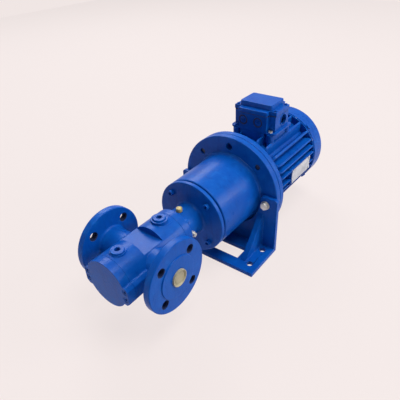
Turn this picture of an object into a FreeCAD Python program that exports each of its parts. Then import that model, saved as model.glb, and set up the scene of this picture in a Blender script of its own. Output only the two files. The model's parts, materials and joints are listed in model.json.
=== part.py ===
import FreeCAD, Part
import Sketcher
import math
import os
from FreeCAD import Placement, Rotation, Vector

# Three-screw pump set: pump, bell housing, foot bracket and flange motor.
# Millimetres. X runs along the shaft towards the motor, the suction flange looks to -Y, Z is up.
# The origin lies on the floor at the centre of the foot's four holes.

os.makedirs("parts", exist_ok=True)
doc = FreeCAD.newDocument("ScrewPumpSet")

driving = {
    # frame of the set
    "shaftHeight": 105,
    "runningGap": 0.05,
    "seatGap": 0.05,
    "freeGap": 0.3,
    "sinkGap": 0.4,
    "threadRunout": 2,
    "edgeCut": 1,
    "fineCut": 0.8,
    # foot bracket
    "footLength": 87,
    "footWidth": 210,
    "footThickness": 8,
    "footBarWidth": 22,
    "footWindowLength": 30,
    "footPlateThickness": 8,
    "footArmRise": 9,
    "footArmCorner": 6,
    "footOpeningRadius": 71.6,
    "ribInside": 68.5,
    "ribThickness": 10.5,
    "ribDrop": 26,
    "ribReach": 66,
    "ribBulge": 260,
    "footWindowInset": 7,
    "footHoleRadius": 5.5,
    "footHolePitchX": 45,
    "footHolePitchY": 176,
    # bell housing and motor flange
    "flangeRadius": 100,
    "flangeHoleCircle": 165,
    "spigotRadius": 65,
    "bellFlangeThickness": 13,
    "bellLength": 109,
    "bellFrontRadius": 65,
    "bellBackRadius": 66.5,
    "bellInnerRadius": 58,
    "bellWall": 12,
    "bellBossRadius": 57,
    "bellBossHeight": 3,
    "bellRingRadius": 70.5,
    "bellRingHeight": 2,
    "bellEdge": 1.5,
    "bellFillet": 2.5,
    "motorScrewRadius": 5,
    "motorScrewHead": 9.2,
    "motorScrewHeadHeight": 6.3,
    "motorScrewStop": 3,
    "spareHoleRadius": 6.5,
    # bracket bolts
    "bracketBoltRadius": 4,
    "bracketHeadRadius": 7.5,
    "bracketHeadHeight": 5.3,
    "bracketWasherRadius": 8.4,
    "bracketWasherThickness": 1.6,
    # pump drive cover
    "discRadius": 65,
    "discThickness": 7,
    "pumpSpigotRadius": 45,
    "pumpSpigotLength": 5,
    "discScrewCircle": 104,
    "discScrewRadius": 3,
    "discScrewHeadRadius": 5,
    "discScrewHeadHeight": 6,
    "discScrewReach": 9,
    "neckRadius": 28,
    "neckLength": 40,
    "neckFillet": 5,
    "coverLength": 14,
    # pump casing
    "barrelRadius": 38,
    "casingLength": 120,
    "endCoverLength": 14,
    "flatHeight": 27,
    "flatStart": 40,
    "flatLength": 38,
    "earHalfWidth": 44,
    "earRise": 13,
    "earDrop": 19,
    "earCorner": 5,
    "earScrewOffset": 38.2,
    "earScrewRise": 7,
    "earScrewRadius": 2.5,
    "earScrewHeadRadius": 4.2,
    "earScrewHeadHeight": 5,
    "earScrewShift": 1,
    "coverScrewReach": 10,
    "chamberRadius": 24,
    "chamberLength": 36,
    # ports
    "portFaceHalf": 75,
    "portFlangeRadius": 57.5,
    "portFlangeThickness": 11.5,
    "portRaisedRadius": 34,
    "portRaisedHeight": 2,
    "portHoleCircle": 85,
    "suctionHoleRadius": 7,
    "dischargeHoleRadius": 7.2,
    "portBoreRadius": 12.5,
    "portNeckRadius": 26.5,
    "portFillet": 4,
    "portStation": 54,
    "portPlugRadius": 13.7,
    "portPlugHeight": 3,
    "portPlugDepth": 14,
    "portPlugWall": 2,
    # plugs on the casing
    "plugRadius": 10.5,
    "plugThreadRadius": 6.5,
    "plugThreadLength": 8,
    "plugCollar": 2.5,
    "plugSocketRadius": 4.6,
    "plugSocketDepth": 6,
    "endPlugStation": 16,
    "endPlugBossRise": 1.5,
    "endPlugBossRadius": 12,
    "neckPlugStation": 18,
    "neckPlugBossRise": 4,
    "neckPlugBossRadius": 13.5,
    "leakPlugRadius": 5.2,
    "leakPlugHeight": 6.5,
    "leakPlugStem": 4,
    "leakPlugStemLength": 8,
    "leakPlugStation": 33,
    "drainPlugRadius": 5,
    "drainPlugHeight": 9,
    "drainNutHeight": 6,
    "drainPipeDepth": 8,
    "drainPlugStem": 3.5,
    "drainPlugStation": 40,
    # galleries between the ports and the ends of the screws
    "galleryRadius": 8,
    "gallerySide": 23,
    "galleryDrop": 15,
    "galleryRunIn": 4,
    # inner ends of the pump
    "coverSpigotLength": 8,
    "shaftHoleRadius": 9.5,
    "sealLip": 16,
    "clipInset": 1.2,
    "clipThickness": 1.7,
    "clipDepth": 1.2,
    "innerRaceWall": 4,
    "shieldGap": 1.5,
    "bearingEdge": 0.8,
    "clipHeight": 6,
    "powerNoseRadius": 6,
    "idlerNoseRadius": 3.1,
    # screws of the pump
    "screwCentres": 20,
    "screwLead": 66,
    "screwLength": 66,
    "screwGap": 0.12,
    "linerWall": 2.6,
    "linerEndGap": 6,
    # pump shaft, bearing and seal
    "pumpShaftRadius": 8,
    "pumpJournalRadius": 8.5,
    "pumpCollarRadius": 10,
    "pumpBearingRadius": 20,
    "pumpBearingWidth": 12,
    "pumpBearingInset": 3,
    "sealRadius": 16,
    "sealSeatLength": 8,
    "sealHeadLength": 17,
    "sealStep": 2,
    "sealRing": 4,
    "sealFaceRing": 5,
    # coupling
    "hubRadius": 27.5,
    "hubLength": 30,
    "jawLength": 16,
    "spiderGap": 18,
    "jawInnerRadius": 12,
    "spiderBore": 7,
    "keyWidth": 5,
    "keyHeight": 5,
    "keyDepth": 3,
    "keyStand": 2,
    "keySlack": 0.02,
    "keyEndStop": 3,
    "pumpKeyLength": 21,
    "motorKeyLength": 18,
    "spiderSlack": 0.4,
    "motorKeyWidth": 6,
    "couplingStation": 83,
    "pumpStubReach": 26,
    # motor
    "motorFlangeThickness": 12,
    "motorSpigotHeight": 3.8,
    "motorShaftRadius": 9.5,
    "motorShaftReach": 40,
    "motorJournalRadius": 10,
    "motorBearingRadius": 23.5,
    "motorBearingWidth": 14,
    "shieldLength": 8,
    "registerLength": 4,
    "registerWall": 6,
    "bearingWall": 6.5,
    "spigotHollow": 10,
    "shaftSlack": 0.5,
    "frameLength": 163,
    "frameInnerRadius": 60,
    "frameWall": 5,
    "finTipRadius": 78.8,
    "finCornerRadius": 82,
    "finCornerAngle": 40,
    "finRise": 34,
    "finRiseRadius": 12,
    "finPitch": 13,
    "finRoot": 4.4,
    "finTip": 2.6,
    "finRootDepth": 4,
    "cornerFinRoot": 6.16,
    "cornerFinTip": 4.16,
    "frontBearingInset": 7,
    "rearBearingReach": 2,
    "rotorBoreRadius": 13,
    "endRingLength": 8,
    "statorLength": 80,
    "statorStation": 42,
    "statorBoreRadius": 36,
    "windingReach": 17,
    "windingInnerRadius": 40,
    "windingOuterRadius": 56,
    "windingEdge": 3,
    "endRingHollow": 10,
    "endRingStep": 2,
    "airGap": 0.4,
    # fan side
    "rearShieldLength": 9,
    "cowlLength": 38.5,
    "cowlStart": 3,
    "cowlRadius": 80.5,
    "cowlWall": 1.2,
    "cowlCorner": 9,
    "cowlSlotInner": 17,
    "cowlSlotOuter": 64,
    "cowlSlotWidth": 5,
    "cowlSlotBreak": 38.4,
    "cowlSlotGap": 5.1,
    "cowlLugLength": 10,
    "cowlLugRoot": 6,
    "cowlLugWidth": 12,
    "cowlScrewRadius": 2.5,
    "cowlScrewHead": 5,
    "cowlScrewHeadHeight": 2.2,
    "cowlScrewReach": 10,
    "cowlScrewHoleDepth": 13,
    "fanStation": 14,
    "fanSeatRadius": 8,
    "fanRadius": 66,
    "fanHubRadius": 17,
    "fanWidth": 18,
    "fanBladeThickness": 2.4,
    "fanDiscThickness": 2.5,
    "fanDiscInset": 6,
    "fanBladeStep": 2,
    # terminal box
    "boxStart": 65,
    "boxLength": 68,
    "boxHalfWidth": 43,
    "boxFloor": 82,
    "boxHeight": 33,
    "boxLedge": 3.5,
    "boxLedgeReach": 5,
    "boxLedgeCorner": 7,
    "boxWall": 4,
    "boxNotchLength": 9,
    "boxNotchWidth": 13,
    "boxCorner": 2.5,
    "pedestalHalfWidth": 26,
    "lidOverlap": 1.5,
    "lidRimHeight": 8,
    "lidHeight": 18,
    "lidCapInset": 9.2,
    "lidTaper": 4,
    "gasketThickness": 1,
    "entryRadius": 10,
    "entryBossWall": 1.5,
    "entryBossRise": 1.2,
    "entryOffset": 5,
    "entryLevel": 101.4,
    "blankRadius": 9.5,
    "blankDiscRadius": 6.8,
    "blankDepth": 1.6,
    "blankDimpleRadius": 3,
    "blankSpacing": 31.5,
    "blankOffset": 20,
    "blankLevel": 101.2,
    "leadHoleRadius": 11,
    "boxPost": 17,
    "boxPostLength": 19,
    "boxScrewHead": 4,
    "boxScrewHeadHeight": 3.2,
    "boxScrewStation": 4.6,
    "boxScrewInset": 6.5,
    "boxScrewRadius": 2,
    "boxScrewDepth": 12,
    "boxBossRadius": 7,
    "lidScrewInset": 3.4,
    "lidScrewStation": 14.5,
    "lidScrewRadius": 1.5,
    "lidScrewHead": 2.8,
    "lidScrewHeadHeight": 2,
    "lidScrewLength": 11,
    "earthScrewRadius": 2,
    "earthScrewHead": 3.8,
    "earthScrewDepth": 2.8,
    "earthScrewOffset": 18,
    "boardLength": 44,
    "boardWidth": 24,
    "boardThickness": 5,
    "boardRibThickness": 3,
    "boardRibHeight": 12,
    "studRadius": 2,
    "studLength": 16,
    "studSpacing": 14,
    "studNutRadius": 4,
    "studNutHeight": 3,
    # nameplate
    "plateLength": 77,
    "plateHeight": 28,
    "plateThickness": 0.8,
    "plateStation": 86,
    "plateDrop": 4,
    "rivetRadius": 1.6,
    "rivetHead": 2.88,
    "rivetHeadHeight": 0.8,
    "rivetLength": 3.5,
    "rivetInset": 3,
    "platePadMargin": 2,
}

sheet = doc.addObject("Spreadsheet::Sheet", "Sizes")
for row, (alias, value) in enumerate(driving.items(), start=1):
    sheet.set("A%d" % row, alias)
    sheet.set("B%d" % row, str(value))
    sheet.setAlias("B%d" % row, alias)
doc.recompute()


class Size:
    # a length together with the formula that binds it to the sheet
    def __init__(self, value, text):
        self.value = value
        self.text = text

    def __add__(self, other):
        other = sized(other)
        return Size(self.value + other.value, "(%s + %s)" % (self.text, other.text))

    def __sub__(self, other):
        other = sized(other)
        return Size(self.value - other.value, "(%s - %s)" % (self.text, other.text))

    def __mul__(self, other):
        other = sized(other)
        return Size(self.value * other.value, "(%s * %s)" % (self.text, other.text))

    def __truediv__(self, other):
        other = sized(other)
        return Size(self.value / other.value, "(%s / %s)" % (self.text, other.text))

    def __neg__(self):
        return Size(-self.value, "(0 - %s)" % self.text)

    def __radd__(self, other):
        return sized(other) + self

    def __rsub__(self, other):
        return sized(other) - self

    def __rmul__(self, other):
        return sized(other) * self


def sized(number):
    if isinstance(number, Size):
        return number
    return Size(float(number), "%.9g" % number)


class Dimensions:
    def __getattr__(self, name):
        return Size(float(sheet.get(name)), "Sizes.%s" % name)


d = Dimensions()
nodes = {}


def bind(item, name, length):
    item.setExpression(name, sized(length).text)


def place(item, x, y, z, turn=None):
    item.Placement = Placement(Vector(0, 0, 0), turn or Rotation())
    bind(item, "Placement.Base.x", x)
    bind(item, "Placement.Base.y", y)
    bind(item, "Placement.Base.z", z)
    return item


alongX = Rotation(Vector(0, 1, 0), 90)
alongY = Rotation(Vector(1, 0, 0), -90)
alongZ = Rotation()


def rod(name, radius, length, x, y, z, turn=alongX):
    item = doc.addObject("Part::Cylinder", name)
    bind(item, "Radius", radius)
    bind(item, "Height", length)
    return place(item, x, y, z, turn)


def sector(name, radius, length, x, middle, width):
    # slice of a disc on the shaft axis, its middle turned away from straight down
    item = doc.addObject("Part::Cylinder", name)
    bind(item, "Radius", radius)
    bind(item, "Height", length)
    item.Angle = width
    turn = Rotation(Vector(1, 0, 0), middle - width / 2) * alongX
    return place(item, x, 0, d.shaftHeight, turn)


def hexRod(name, radius, length, x, y, z, turn=alongX):
    item = doc.addObject("Part::Prism", name)
    item.Polygon = 6
    bind(item, "Circumradius", radius)
    bind(item, "Height", length)
    return place(item, x, y, z, turn)


def block(name, x, y, z, length, width, height):
    item = doc.addObject("Part::Box", name)
    bind(item, "Length", length)
    bind(item, "Width", width)
    bind(item, "Height", height)
    return place(item, x, y, z)


def join(name, pieces):
    item = doc.addObject("Part::MultiFuse", name)
    item.Shapes = pieces
    item.Refine = True
    return item


def cut(name, base, tools):
    item = doc.addObject("Part::Cut", name)
    item.Base = base
    item.Tool = tools[0] if len(tools) == 1 else join(name + "Tools", tools)
    item.Refine = True
    return item


def common(name, base, tool):
    item = doc.addObject("Part::Common", name)
    item.Base = base
    item.Tool = tool
    return item


def together(name, pieces):
    item = doc.addObject("Part::Compound", name)
    item.Links = pieces
    return item


def node(label, item):
    item.Label = label
    nodes[label] = item
    return item


def originPlane(body, role):
    return next(item for item in body.Origin.OriginFeatures if item.Role == role)


class Bend:
    # the end of an arc round a centre, in an outline
    def __init__(self, u, v, centreU, centreV):
        self.point = (sized(u), sized(v))
        self.centre = (sized(centreU), sized(centreV))


def corner(entry):
    return entry.point if isinstance(entry, Bend) else (sized(entry[0]), sized(entry[1]))


def flat(pair):
    return Vector(pair[0].value, pair[1].value, 0)


def drawOutline(sketch, outline):
    # a closed outline of lines and arcs, every corner held by two bound distances
    ends = []
    for index, entry in enumerate(outline):
        after = outline[(index + 1) % len(outline)]
        start = flat(corner(entry))
        finish = flat(corner(after))
        if not isinstance(after, Bend):
            ends.append((sketch.addGeometry(Part.LineSegment(start, finish), False), 1, 2))
            continue
        centre = flat(after.centre)
        outward = (start + finish) * 0.5 - centre
        middle = centre + outward.normalize() * (start - centre).Length
        forward = (start - centre).cross(finish - centre).z > 0
        first, last = (start, finish) if forward else (finish, start)
        arc = sketch.addGeometry(Part.Arc(first, middle, last), False)
        ends.append((arc, 1, 2) if forward else (arc, 2, 1))
        wide = abs(start.x - finish.x) > abs(start.y - finish.y)
        direction, length = ("DistanceY", after.centre[1]) if wide else ("DistanceX", after.centre[0])
        held = sketch.addConstraint(Sketcher.Constraint(direction, -1, 1, arc, 3, length.value))
        sketch.setExpression("Constraints[%d]" % held, length.text)
    for index, entry in enumerate(outline):
        edge, first, last = ends[index]
        following = ends[(index + 1) % len(outline)]
        sketch.addConstraint(Sketcher.Constraint("Coincident", edge, last, following[0], following[1]))
        for direction, length in zip(("DistanceX", "DistanceY"), corner(entry)):
            held = sketch.addConstraint(Sketcher.Constraint(direction, -1, 1, edge, first, length.value))
            sketch.setExpression("Constraints[%d]" % held, length.text)


def newSketch(body, name, role, outline, offset=None):
    sketch = body.newObject("Sketcher::SketchObject", name)
    sketch.AttachmentSupport = (originPlane(body, role), [""])
    sketch.MapMode = "FlatFace"
    if offset is not None:
        bind(sketch, "AttachmentOffset.Base.z", offset)
    drawOutline(sketch, outline)
    return sketch


def turned(name, outline, axis="X", at=(0, 0)):
    # outline points are (distance along the axis, radius)
    body = doc.addObject("PartDesign::Body", name)
    if axis == "X":
        sketch = newSketch(body, name + "Outline", "XZ_Plane", outline)
        place(body, 0, at[0], at[1])
    else:
        role = "XZ_Plane" if axis == "Z" else "XY_Plane"
        swapped = [swap(entry) for entry in outline]
        sketch = newSketch(body, name + "Outline", role, swapped)
        if axis == "Z":
            place(body, at[0], at[1], 0)
        else:
            place(body, at[0], 0, at[1])
    turn = body.newObject("PartDesign::Revolution", name + "Turn")
    turn.Profile = sketch
    turn.ReferenceAxis = (sketch, ["H_Axis" if axis == "X" else "V_Axis"])
    turn.Angle = 360
    body.Tip = turn
    return body


def swap(entry):
    if isinstance(entry, Bend):
        return Bend(entry.point[1], entry.point[0], entry.centre[1], entry.centre[0])
    return (entry[1], entry[0])


def onShaft(name, outline):
    return turned(name, outline, "X", (0, d.shaftHeight))


def padded(name, role, outline, length, at, taper=0, turn=None):
    # across the shaft on YZ (towards +X), on XZ (towards -Y), or up from XY
    body = doc.addObject("PartDesign::Body", name)
    sketch = newSketch(body, name + "Outline", role, outline)
    pad = body.newObject("PartDesign::Pad", name + "Pad")
    pad.Profile = sketch
    bind(pad, "Length", length)
    if taper:
        bind(pad, "TaperAngle", taper)
    body.Tip = pad
    return place(body, at[0], at[1], at[2], turn)


def roundedRectangle(u1, v1, u2, v2, radius):
    u1, v1, u2, v2 = (sized(number) for number in (u1, v1, u2, v2))
    return [
        Bend(u1 + radius, v1, u1 + radius, v1 + radius),
        (u2 - radius, v1),
        Bend(u2, v1 + radius, u2 - radius, v1 + radius),
        (u2, v2 - radius),
        Bend(u2 - radius, v2, u2 - radius, v2 - radius),
        (u1 + radius, v2),
        Bend(u1, v2 - radius, u1 + radius, v2 - radius),
        (u1, v1 + radius),
    ]


def roundAxis(circle, angle):
    # height and side of a point on a circle about the shaft, measured from -Y upwards
    side = -(circle / 2) * math.cos(math.radians(angle))
    rise = d.shaftHeight + (circle / 2) * math.sin(math.radians(angle))
    return side, rise


def holeRing(name, radius, length, x, circle, angles):
    return [rod("%s%d" % (name, index), radius, length, x, *roundAxis(circle, angle))
            for index, angle in enumerate(angles)]


# hexagon socket of a cap screw, as shares of its head
socketDepthShare = 0.6
socketWidthShare = 0.55


def capScrew(name, x, side, rise, shank, length, head, height, way=1):
    # socket head screw along the shaft, x is where the head seats, way the sense of the shank
    start = x if way > 0 else x - length
    headStart = x - height if way > 0 else x
    body = join(name + "Blank", [
        rod(name + "Shank", shank, length, start, side, rise),
        rod(name + "Head", head, height, headStart, side, rise),
    ])
    depth = height * socketDepthShare
    socketStart = x - height if way > 0 else x + height - depth
    return cut(name, body, [hexRod(name + "Socket", head * socketWidthShare, depth, socketStart, side, rise)])


def hexScrew(name, x, side, rise, shank, length, head, height, way=1):
    start = x if way > 0 else x - length
    headStart = x - height if way > 0 else x
    return join(name, [
        rod(name + "Shank", shank, length, start, side, rise),
        hexRod(name + "Head", head, height, headStart, side, rise),
    ])


def screwUp(name, x, y, z, shank, length, head, height):
    # cheese head screw pointing down, z is where the head seats
    return join(name, [
        rod(name + "Shank", shank, length, x, y, z - length, alongZ),
        rod(name + "Head", head, height, x, y, z, alongZ),
    ])


# stations along the shaft

flangeFace = d.footLength / 2
jointFace = flangeFace + d.bellFlangeThickness
discBack = flangeFace - d.bellLength
discFront = discBack - d.discThickness
coverBack = discFront - d.neckLength
casingBack = coverBack - d.coverLength
casingFront = casingBack - d.casingLength
pumpEnd = casingFront - d.endCoverLength
portX = casingFront + d.portStation
flangeBack = jointFace + d.motorFlangeThickness
frameStart = flangeBack + d.shieldLength
frameEnd = frameStart + d.frameLength
cowlFront = frameEnd + d.cowlStart
cowlEnd = cowlFront + d.cowlLength
screwDiagonal = (45, 135, 225, 315)


# outer radii of the meshing screws as shares of their centre distance
powerShare = 5 / 6
idlerShare = 1 / 2


def gapped(radius):
    return radius + d.seatGap


def linerOutline(wall):
    # hull of the three screw bores grown by a wall, in Y and Z about the shaft
    centres = d.screwCentres
    big = centres * powerShare + wall
    small = centres * idlerShare + wall
    lean = powerShare - idlerShare
    upright = math.sqrt(1 - lean * lean)
    return [
        Bend(big * lean, big * upright, 0, 0),
        (centres + small * lean, small * upright),
        Bend(centres + small * lean, -(small * upright), centres, 0),
        (big * lean, -(big * upright)),
        Bend(-(big * lean), -(big * upright), 0, 0),
        (-(centres + small * lean), -(small * upright)),
        Bend(-(centres + small * lean), small * upright, -centres, 0),
        (-(big * lean), big * upright),
    ]


def earOutline():
    # section of the casing's two side ears, one rectangle through the barrel with cut corners
    out = d.earHalfWidth
    nip = d.earCorner
    return [
        (-out, nip - d.earDrop), (nip - out, -d.earDrop), (out - nip, -d.earDrop), (out, nip - d.earDrop),
        (out, d.earRise - nip), (out - nip, d.earRise), (nip - out, d.earRise), (-out, d.earRise - nip),
    ]


def earScrews():
    places = []
    for side in (-1, 1):
        for lift in (-1, 1):
            places.append((side * d.earScrewOffset, d.shaftHeight + lift * d.earScrewRise - d.earScrewShift))
    return places


def makeCasing():
    barrel = rod("Barrel", d.barrelRadius, d.casingLength, casingFront, 0, d.shaftHeight)
    ears = padded("Ears", "YZ_Plane", earOutline(), d.portStation, (casingFront, 0, d.shaftHeight))
    ports = turned("Ports", portOutline(), "Y", (portX, d.shaftHeight))
    endBoss = rod("EndBoss", d.endPlugBossRadius, d.barrelRadius + d.endPlugBossRise,
                  casingFront + d.endPlugStation, 0, d.shaftHeight, alongZ)
    neckBoss = rod("NeckBoss", d.neckPlugBossRadius, d.barrelRadius + d.neckPlugBossRise,
                   casingBack - d.neckPlugStation, 0, d.shaftHeight, alongZ)
    rawCasing = join("RawCasing", [barrel, ears, ports, endBoss, neckBoss])
    flatTool = block("FlatTool", casingFront + d.flatStart, -d.barrelRadius, d.shaftHeight + d.flatHeight,
                     d.flatLength, d.barrelRadius * 2, d.barrelRadius)
    cavity = padded("LinerCavity", "YZ_Plane", linerOutline(d.linerWall + d.seatGap),
                    d.casingLength - d.chamberLength, (casingFront - 1, 0, d.shaftHeight))
    chamber = rod("Chamber", d.chamberRadius, d.chamberLength + 2, casingBack - d.chamberLength - 1, 0,
                  d.shaftHeight)
    bores = [
        flatTool, cavity, chamber,
        rod("SuctionBore", d.portBoreRadius, d.portFaceHalf, portX, -d.portFaceHalf, d.shaftHeight, alongY),
        rod("DischargeBore", d.portBoreRadius, d.portFaceHalf, portX, 0, d.shaftHeight, alongY),
        rod("EndPlugBore", gapped(d.plugThreadRadius), d.barrelRadius + d.endPlugBossRise,
            casingFront + d.endPlugStation, 0, d.shaftHeight, alongZ),
        rod("NeckPlugBore", gapped(d.plugThreadRadius), d.barrelRadius + d.neckPlugBossRise,
            casingBack - d.neckPlugStation, 0, d.shaftHeight, alongZ),
    ]
    bores.append(rod("SuctionGallery", d.galleryRadius, d.portStation + 1, casingFront - 1, -d.gallerySide,
                     d.shaftHeight - d.galleryDrop))
    reach = casingBack - portX - d.chamberLength + d.galleryRunIn
    bores.append(rod("DischargeGallery", d.galleryRadius, reach, portX, d.gallerySide,
                     d.shaftHeight - d.galleryDrop))
    bores += portHoles()
    thread = d.coverScrewReach + d.threadRunout
    for index, (side, rise) in enumerate(earScrews()):
        bores.append(rod("EarHole%d" % index, gapped(d.earScrewRadius), thread + 1, casingFront - 1,
                         side, rise))
    bores += holeRing("CoverHole", gapped(d.earScrewRadius), thread + 1, casingBack - thread,
                      coverScrewCircle(), screwDiagonal)
    node("pump_casing", cut("Casing", rawCasing, bores))


def portOutline():
    face = d.portFaceHalf
    rim = face - d.portRaisedHeight
    back = rim - d.portFlangeThickness
    neck = d.portNeckRadius
    chamfer = d.edgeCut
    fillet = d.portFillet
    return [
        (-face, 0), (-face, d.portRaisedRadius), (-rim, d.portRaisedRadius),
        (-rim, d.portFlangeRadius - chamfer), (-(rim - chamfer), d.portFlangeRadius),
        (-(back + chamfer), d.portFlangeRadius), (-back, d.portFlangeRadius - chamfer),
        (-back, neck + fillet), Bend(-(back - fillet), neck, -(back - fillet), neck + fillet),
        (back - fillet, neck), Bend(back, neck + fillet, back - fillet, neck + fillet),
        (back, d.portFlangeRadius - chamfer), (back + chamfer, d.portFlangeRadius),
        (rim - chamfer, d.portFlangeRadius), (rim, d.portFlangeRadius - chamfer),
        (rim, d.portRaisedRadius), (face, d.portRaisedRadius), (face, 0),
    ]


def portHoles():
    holes = []
    rim = d.portFaceHalf - d.portRaisedHeight
    for name, start, radius in (("Suction", -rim - 1, d.suctionHoleRadius),
                                ("Discharge", rim - d.portFlangeThickness - 1, d.dischargeHoleRadius)):
        for index, angle in enumerate(screwDiagonal):
            reach = d.portHoleCircle / 2
            x = portX + reach * math.cos(math.radians(angle))
            z = d.shaftHeight + reach * math.sin(math.radians(angle))
            holes.append(rod("%sHole%d" % (name, index), radius, d.portFlangeThickness + 2, x, start, z,
                             alongY))
    return holes


def coverScrewCircle():
    return d.barrelRadius + d.neckRadius


def makeEndCover():
    lid = join("EndCoverBlank", [
        rod("EndLid", d.barrelRadius, d.endCoverLength, pumpEnd, 0, d.shaftHeight),
        padded("EndEars", "YZ_Plane", earOutline(), d.endCoverLength, (pumpEnd, 0, d.shaftHeight)),
    ])
    tools = []
    screws = []
    seat = pumpEnd + d.earScrewHeadHeight
    for index, (side, rise) in enumerate(earScrews()):
        tools.append(rod("EndHole%d" % index, gapped(d.earScrewRadius), d.endCoverLength + 2, pumpEnd - 1,
                         side, rise))
        tools.append(rod("EndSink%d" % index, d.earScrewHeadRadius + d.sinkGap, d.earScrewHeadHeight + 1,
                         pumpEnd - 1, side, rise))
        screws.append(capScrew("EndScrew%d" % index, seat, side, rise, d.earScrewRadius,
                               casingFront - seat + d.coverScrewReach, d.earScrewHeadRadius,
                               d.earScrewHeadHeight - d.sinkGap))
    node("end_cover", cut("EndCover", lid, tools))
    node("end_cover_screws", together("EndScrews", screws))


def makeLiner():
    start = casingFront + d.linerEndGap
    blank = padded("LinerBlank", "YZ_Plane", linerOutline(d.linerWall), d.screwLength,
                   (start, 0, d.shaftHeight))
    gap = d.runningGap
    centres = d.screwCentres
    length = d.screwLength + 2
    bores = [rod("PowerBore", centres * powerShare + gap, length, start - 1, 0, d.shaftHeight)]
    for index, side in enumerate((-centres, centres)):
        bores.append(rod("IdlerBore%d" % index, centres * idlerShare + gap, length, start - 1, side,
                         d.shaftHeight))
    node("screw_liner", cut("Liner", blank, bores))


# the three meshing screws


flankSteps = 8


def flankPoints(outer, first, last):
    # path that a tooth edge at radius outer cuts into the neighbour, from radius first to radius last;
    # neighbours turn at one speed in opposite senses, screwCentres apart
    centres = d.screwCentres.value
    points = []
    start, finish = [math.acos(min(1, (outer ** 2 + centres ** 2 - reach ** 2) / (2 * outer * centres)))
                     for reach in (first, last)]
    for step in range(flankSteps + 1):
        turn = start + (finish - start) * step / flankSteps
        along = centres * math.cos(turn) - outer * math.cos(2 * turn)
        across = centres * math.sin(turn) - outer * math.sin(2 * turn)
        points.append((math.hypot(along, across), abs(math.atan2(across, along))))
    return points


def polar(radius, angle):
    return Vector(0, radius * math.cos(angle), radius * math.sin(angle))


def curve(points):
    line = Part.BSplineCurve()
    line.interpolate([polar(radius, angle) for radius, angle in points])
    return line.toShape()


def land(radius, first, last):
    return Part.Arc(polar(radius, first), polar(radius, (first + last) / 2), polar(radius, last)).toShape()


def screwSection(flank, rootHalf, start):
    # two teeth half a turn apart, the flank list runs from the root outwards
    edges = []
    for tooth in (start, start + math.pi):
        rising = [(radius, tooth - rootHalf + angle) for radius, angle in flank]
        falling = [(radius, tooth + rootHalf - angle) for radius, angle in reversed(flank)]
        edges += [curve(rising), land(flank[-1][0], rising[-1][1], falling[0][1])]
        root = tooth + math.pi - rootHalf + flank[0][1]
        edges += [curve(falling), land(flank[0][0], falling[-1][1], root)]
    return Part.Wire(edges)


def twisted(section, length, hand):
    # the section carried along X while a helix beside the axis turns it
    lead = d.screwLead.value
    spine = Part.Wire(Part.makeLine(Vector(0, 0, 0), Vector(length, 0, 0)))
    helix = Part.makeHelix(lead, length, lead, 0, hand < 0)
    helix.rotate(Vector(0, 0, 0), Vector(0, 1, 0), 90)
    sweep = Part.BRepOffsetAPI.MakePipeShell(spine)
    sweep.setAuxiliarySpine(Part.Wire(helix.Edges), True, 0)
    sweep.add(section)
    sweep.build()
    sweep.makeSolid()
    return sweep.shape()


def screwBody(name, section, hand, x, y):
    item = doc.addObject("Part::Feature", name)
    item.Shape = twisted(section, d.screwLength.value, hand)
    item.Placement = Placement(Vector(x.value, y.value, d.shaftHeight.value), Rotation())
    return item


def eased(flank, rootHalf):
    # the same flank set back from its neighbour all round
    ease = d.screwGap.value
    return [(radius - ease / 2, angle) for radius, angle in flank], rootHalf - ease / flank[-1][0]


def makeScrews():
    centres = d.screwCentres.value
    quarter = math.radians(45)
    start = casingFront + d.linerEndGap
    big = centres * powerShare
    small = centres * idlerShare
    power, powerHalf = eased(flankPoints(small, centres - small, big), quarter)
    idlerFlank = flankPoints(big, centres - big, small)
    idler, idlerHalf = eased(idlerFlank, quarter + idlerFlank[-1][1])
    middle = screwBody("PowerThread", screwSection(power, powerHalf, 0), 1, start, sized(0))
    nose = rod("PowerNose", d.powerNoseRadius, d.linerEndGap + 1, casingFront + d.runningGap, 0,
               d.shaftHeight)
    shaft = onShaft("PumpShaft", pumpShaftOutline(start + d.screwLength - 1))
    keyway = block("PumpKeyway", hubStart - 1, -(d.keyWidth / 2),
                   d.shaftHeight + d.pumpShaftRadius - d.keyDepth, d.hubLength, d.keyWidth, d.keyHeight)
    node("power_screw", cut("PowerScrew", join("PowerBlank", [middle, nose, shaft]), [keyway]))
    for side, label in ((1, "idler_screw_left"), (-1, "idler_screw_right")):
        thread = screwBody("Thread_" + label, screwSection(idler, idlerHalf, 2 * quarter), -1,
                           start, d.screwCentres * side)
        stub = rod("Nose_" + label, d.idlerNoseRadius, d.linerEndGap + 1, casingFront + d.runningGap,
                   d.screwCentres * side, d.shaftHeight)
        node(label, join("Idler_" + label, [thread, stub]))


def pumpShaftOutline(start):
    shoulder = coverFace + d.pumpBearingInset
    journalEnd = shoulder + d.pumpBearingWidth
    return [
        (start, 0), (start, d.pumpCollarRadius - 1), (shoulder, d.pumpCollarRadius - 1),
        (shoulder, d.pumpJournalRadius), (journalEnd, d.pumpJournalRadius),
        (journalEnd, d.pumpShaftRadius), (hubStart + d.pumpStubReach - 1, d.pumpShaftRadius),
        (hubStart + d.pumpStubReach, d.pumpShaftRadius - 1), (hubStart + d.pumpStubReach, 0),
    ]


coverFace = casingBack - d.coverSpigotLength
hubStart = flangeFace - d.couplingStation
spiderStart = hubStart + d.hubLength
motorHubStart = spiderStart + d.spiderGap


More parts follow.
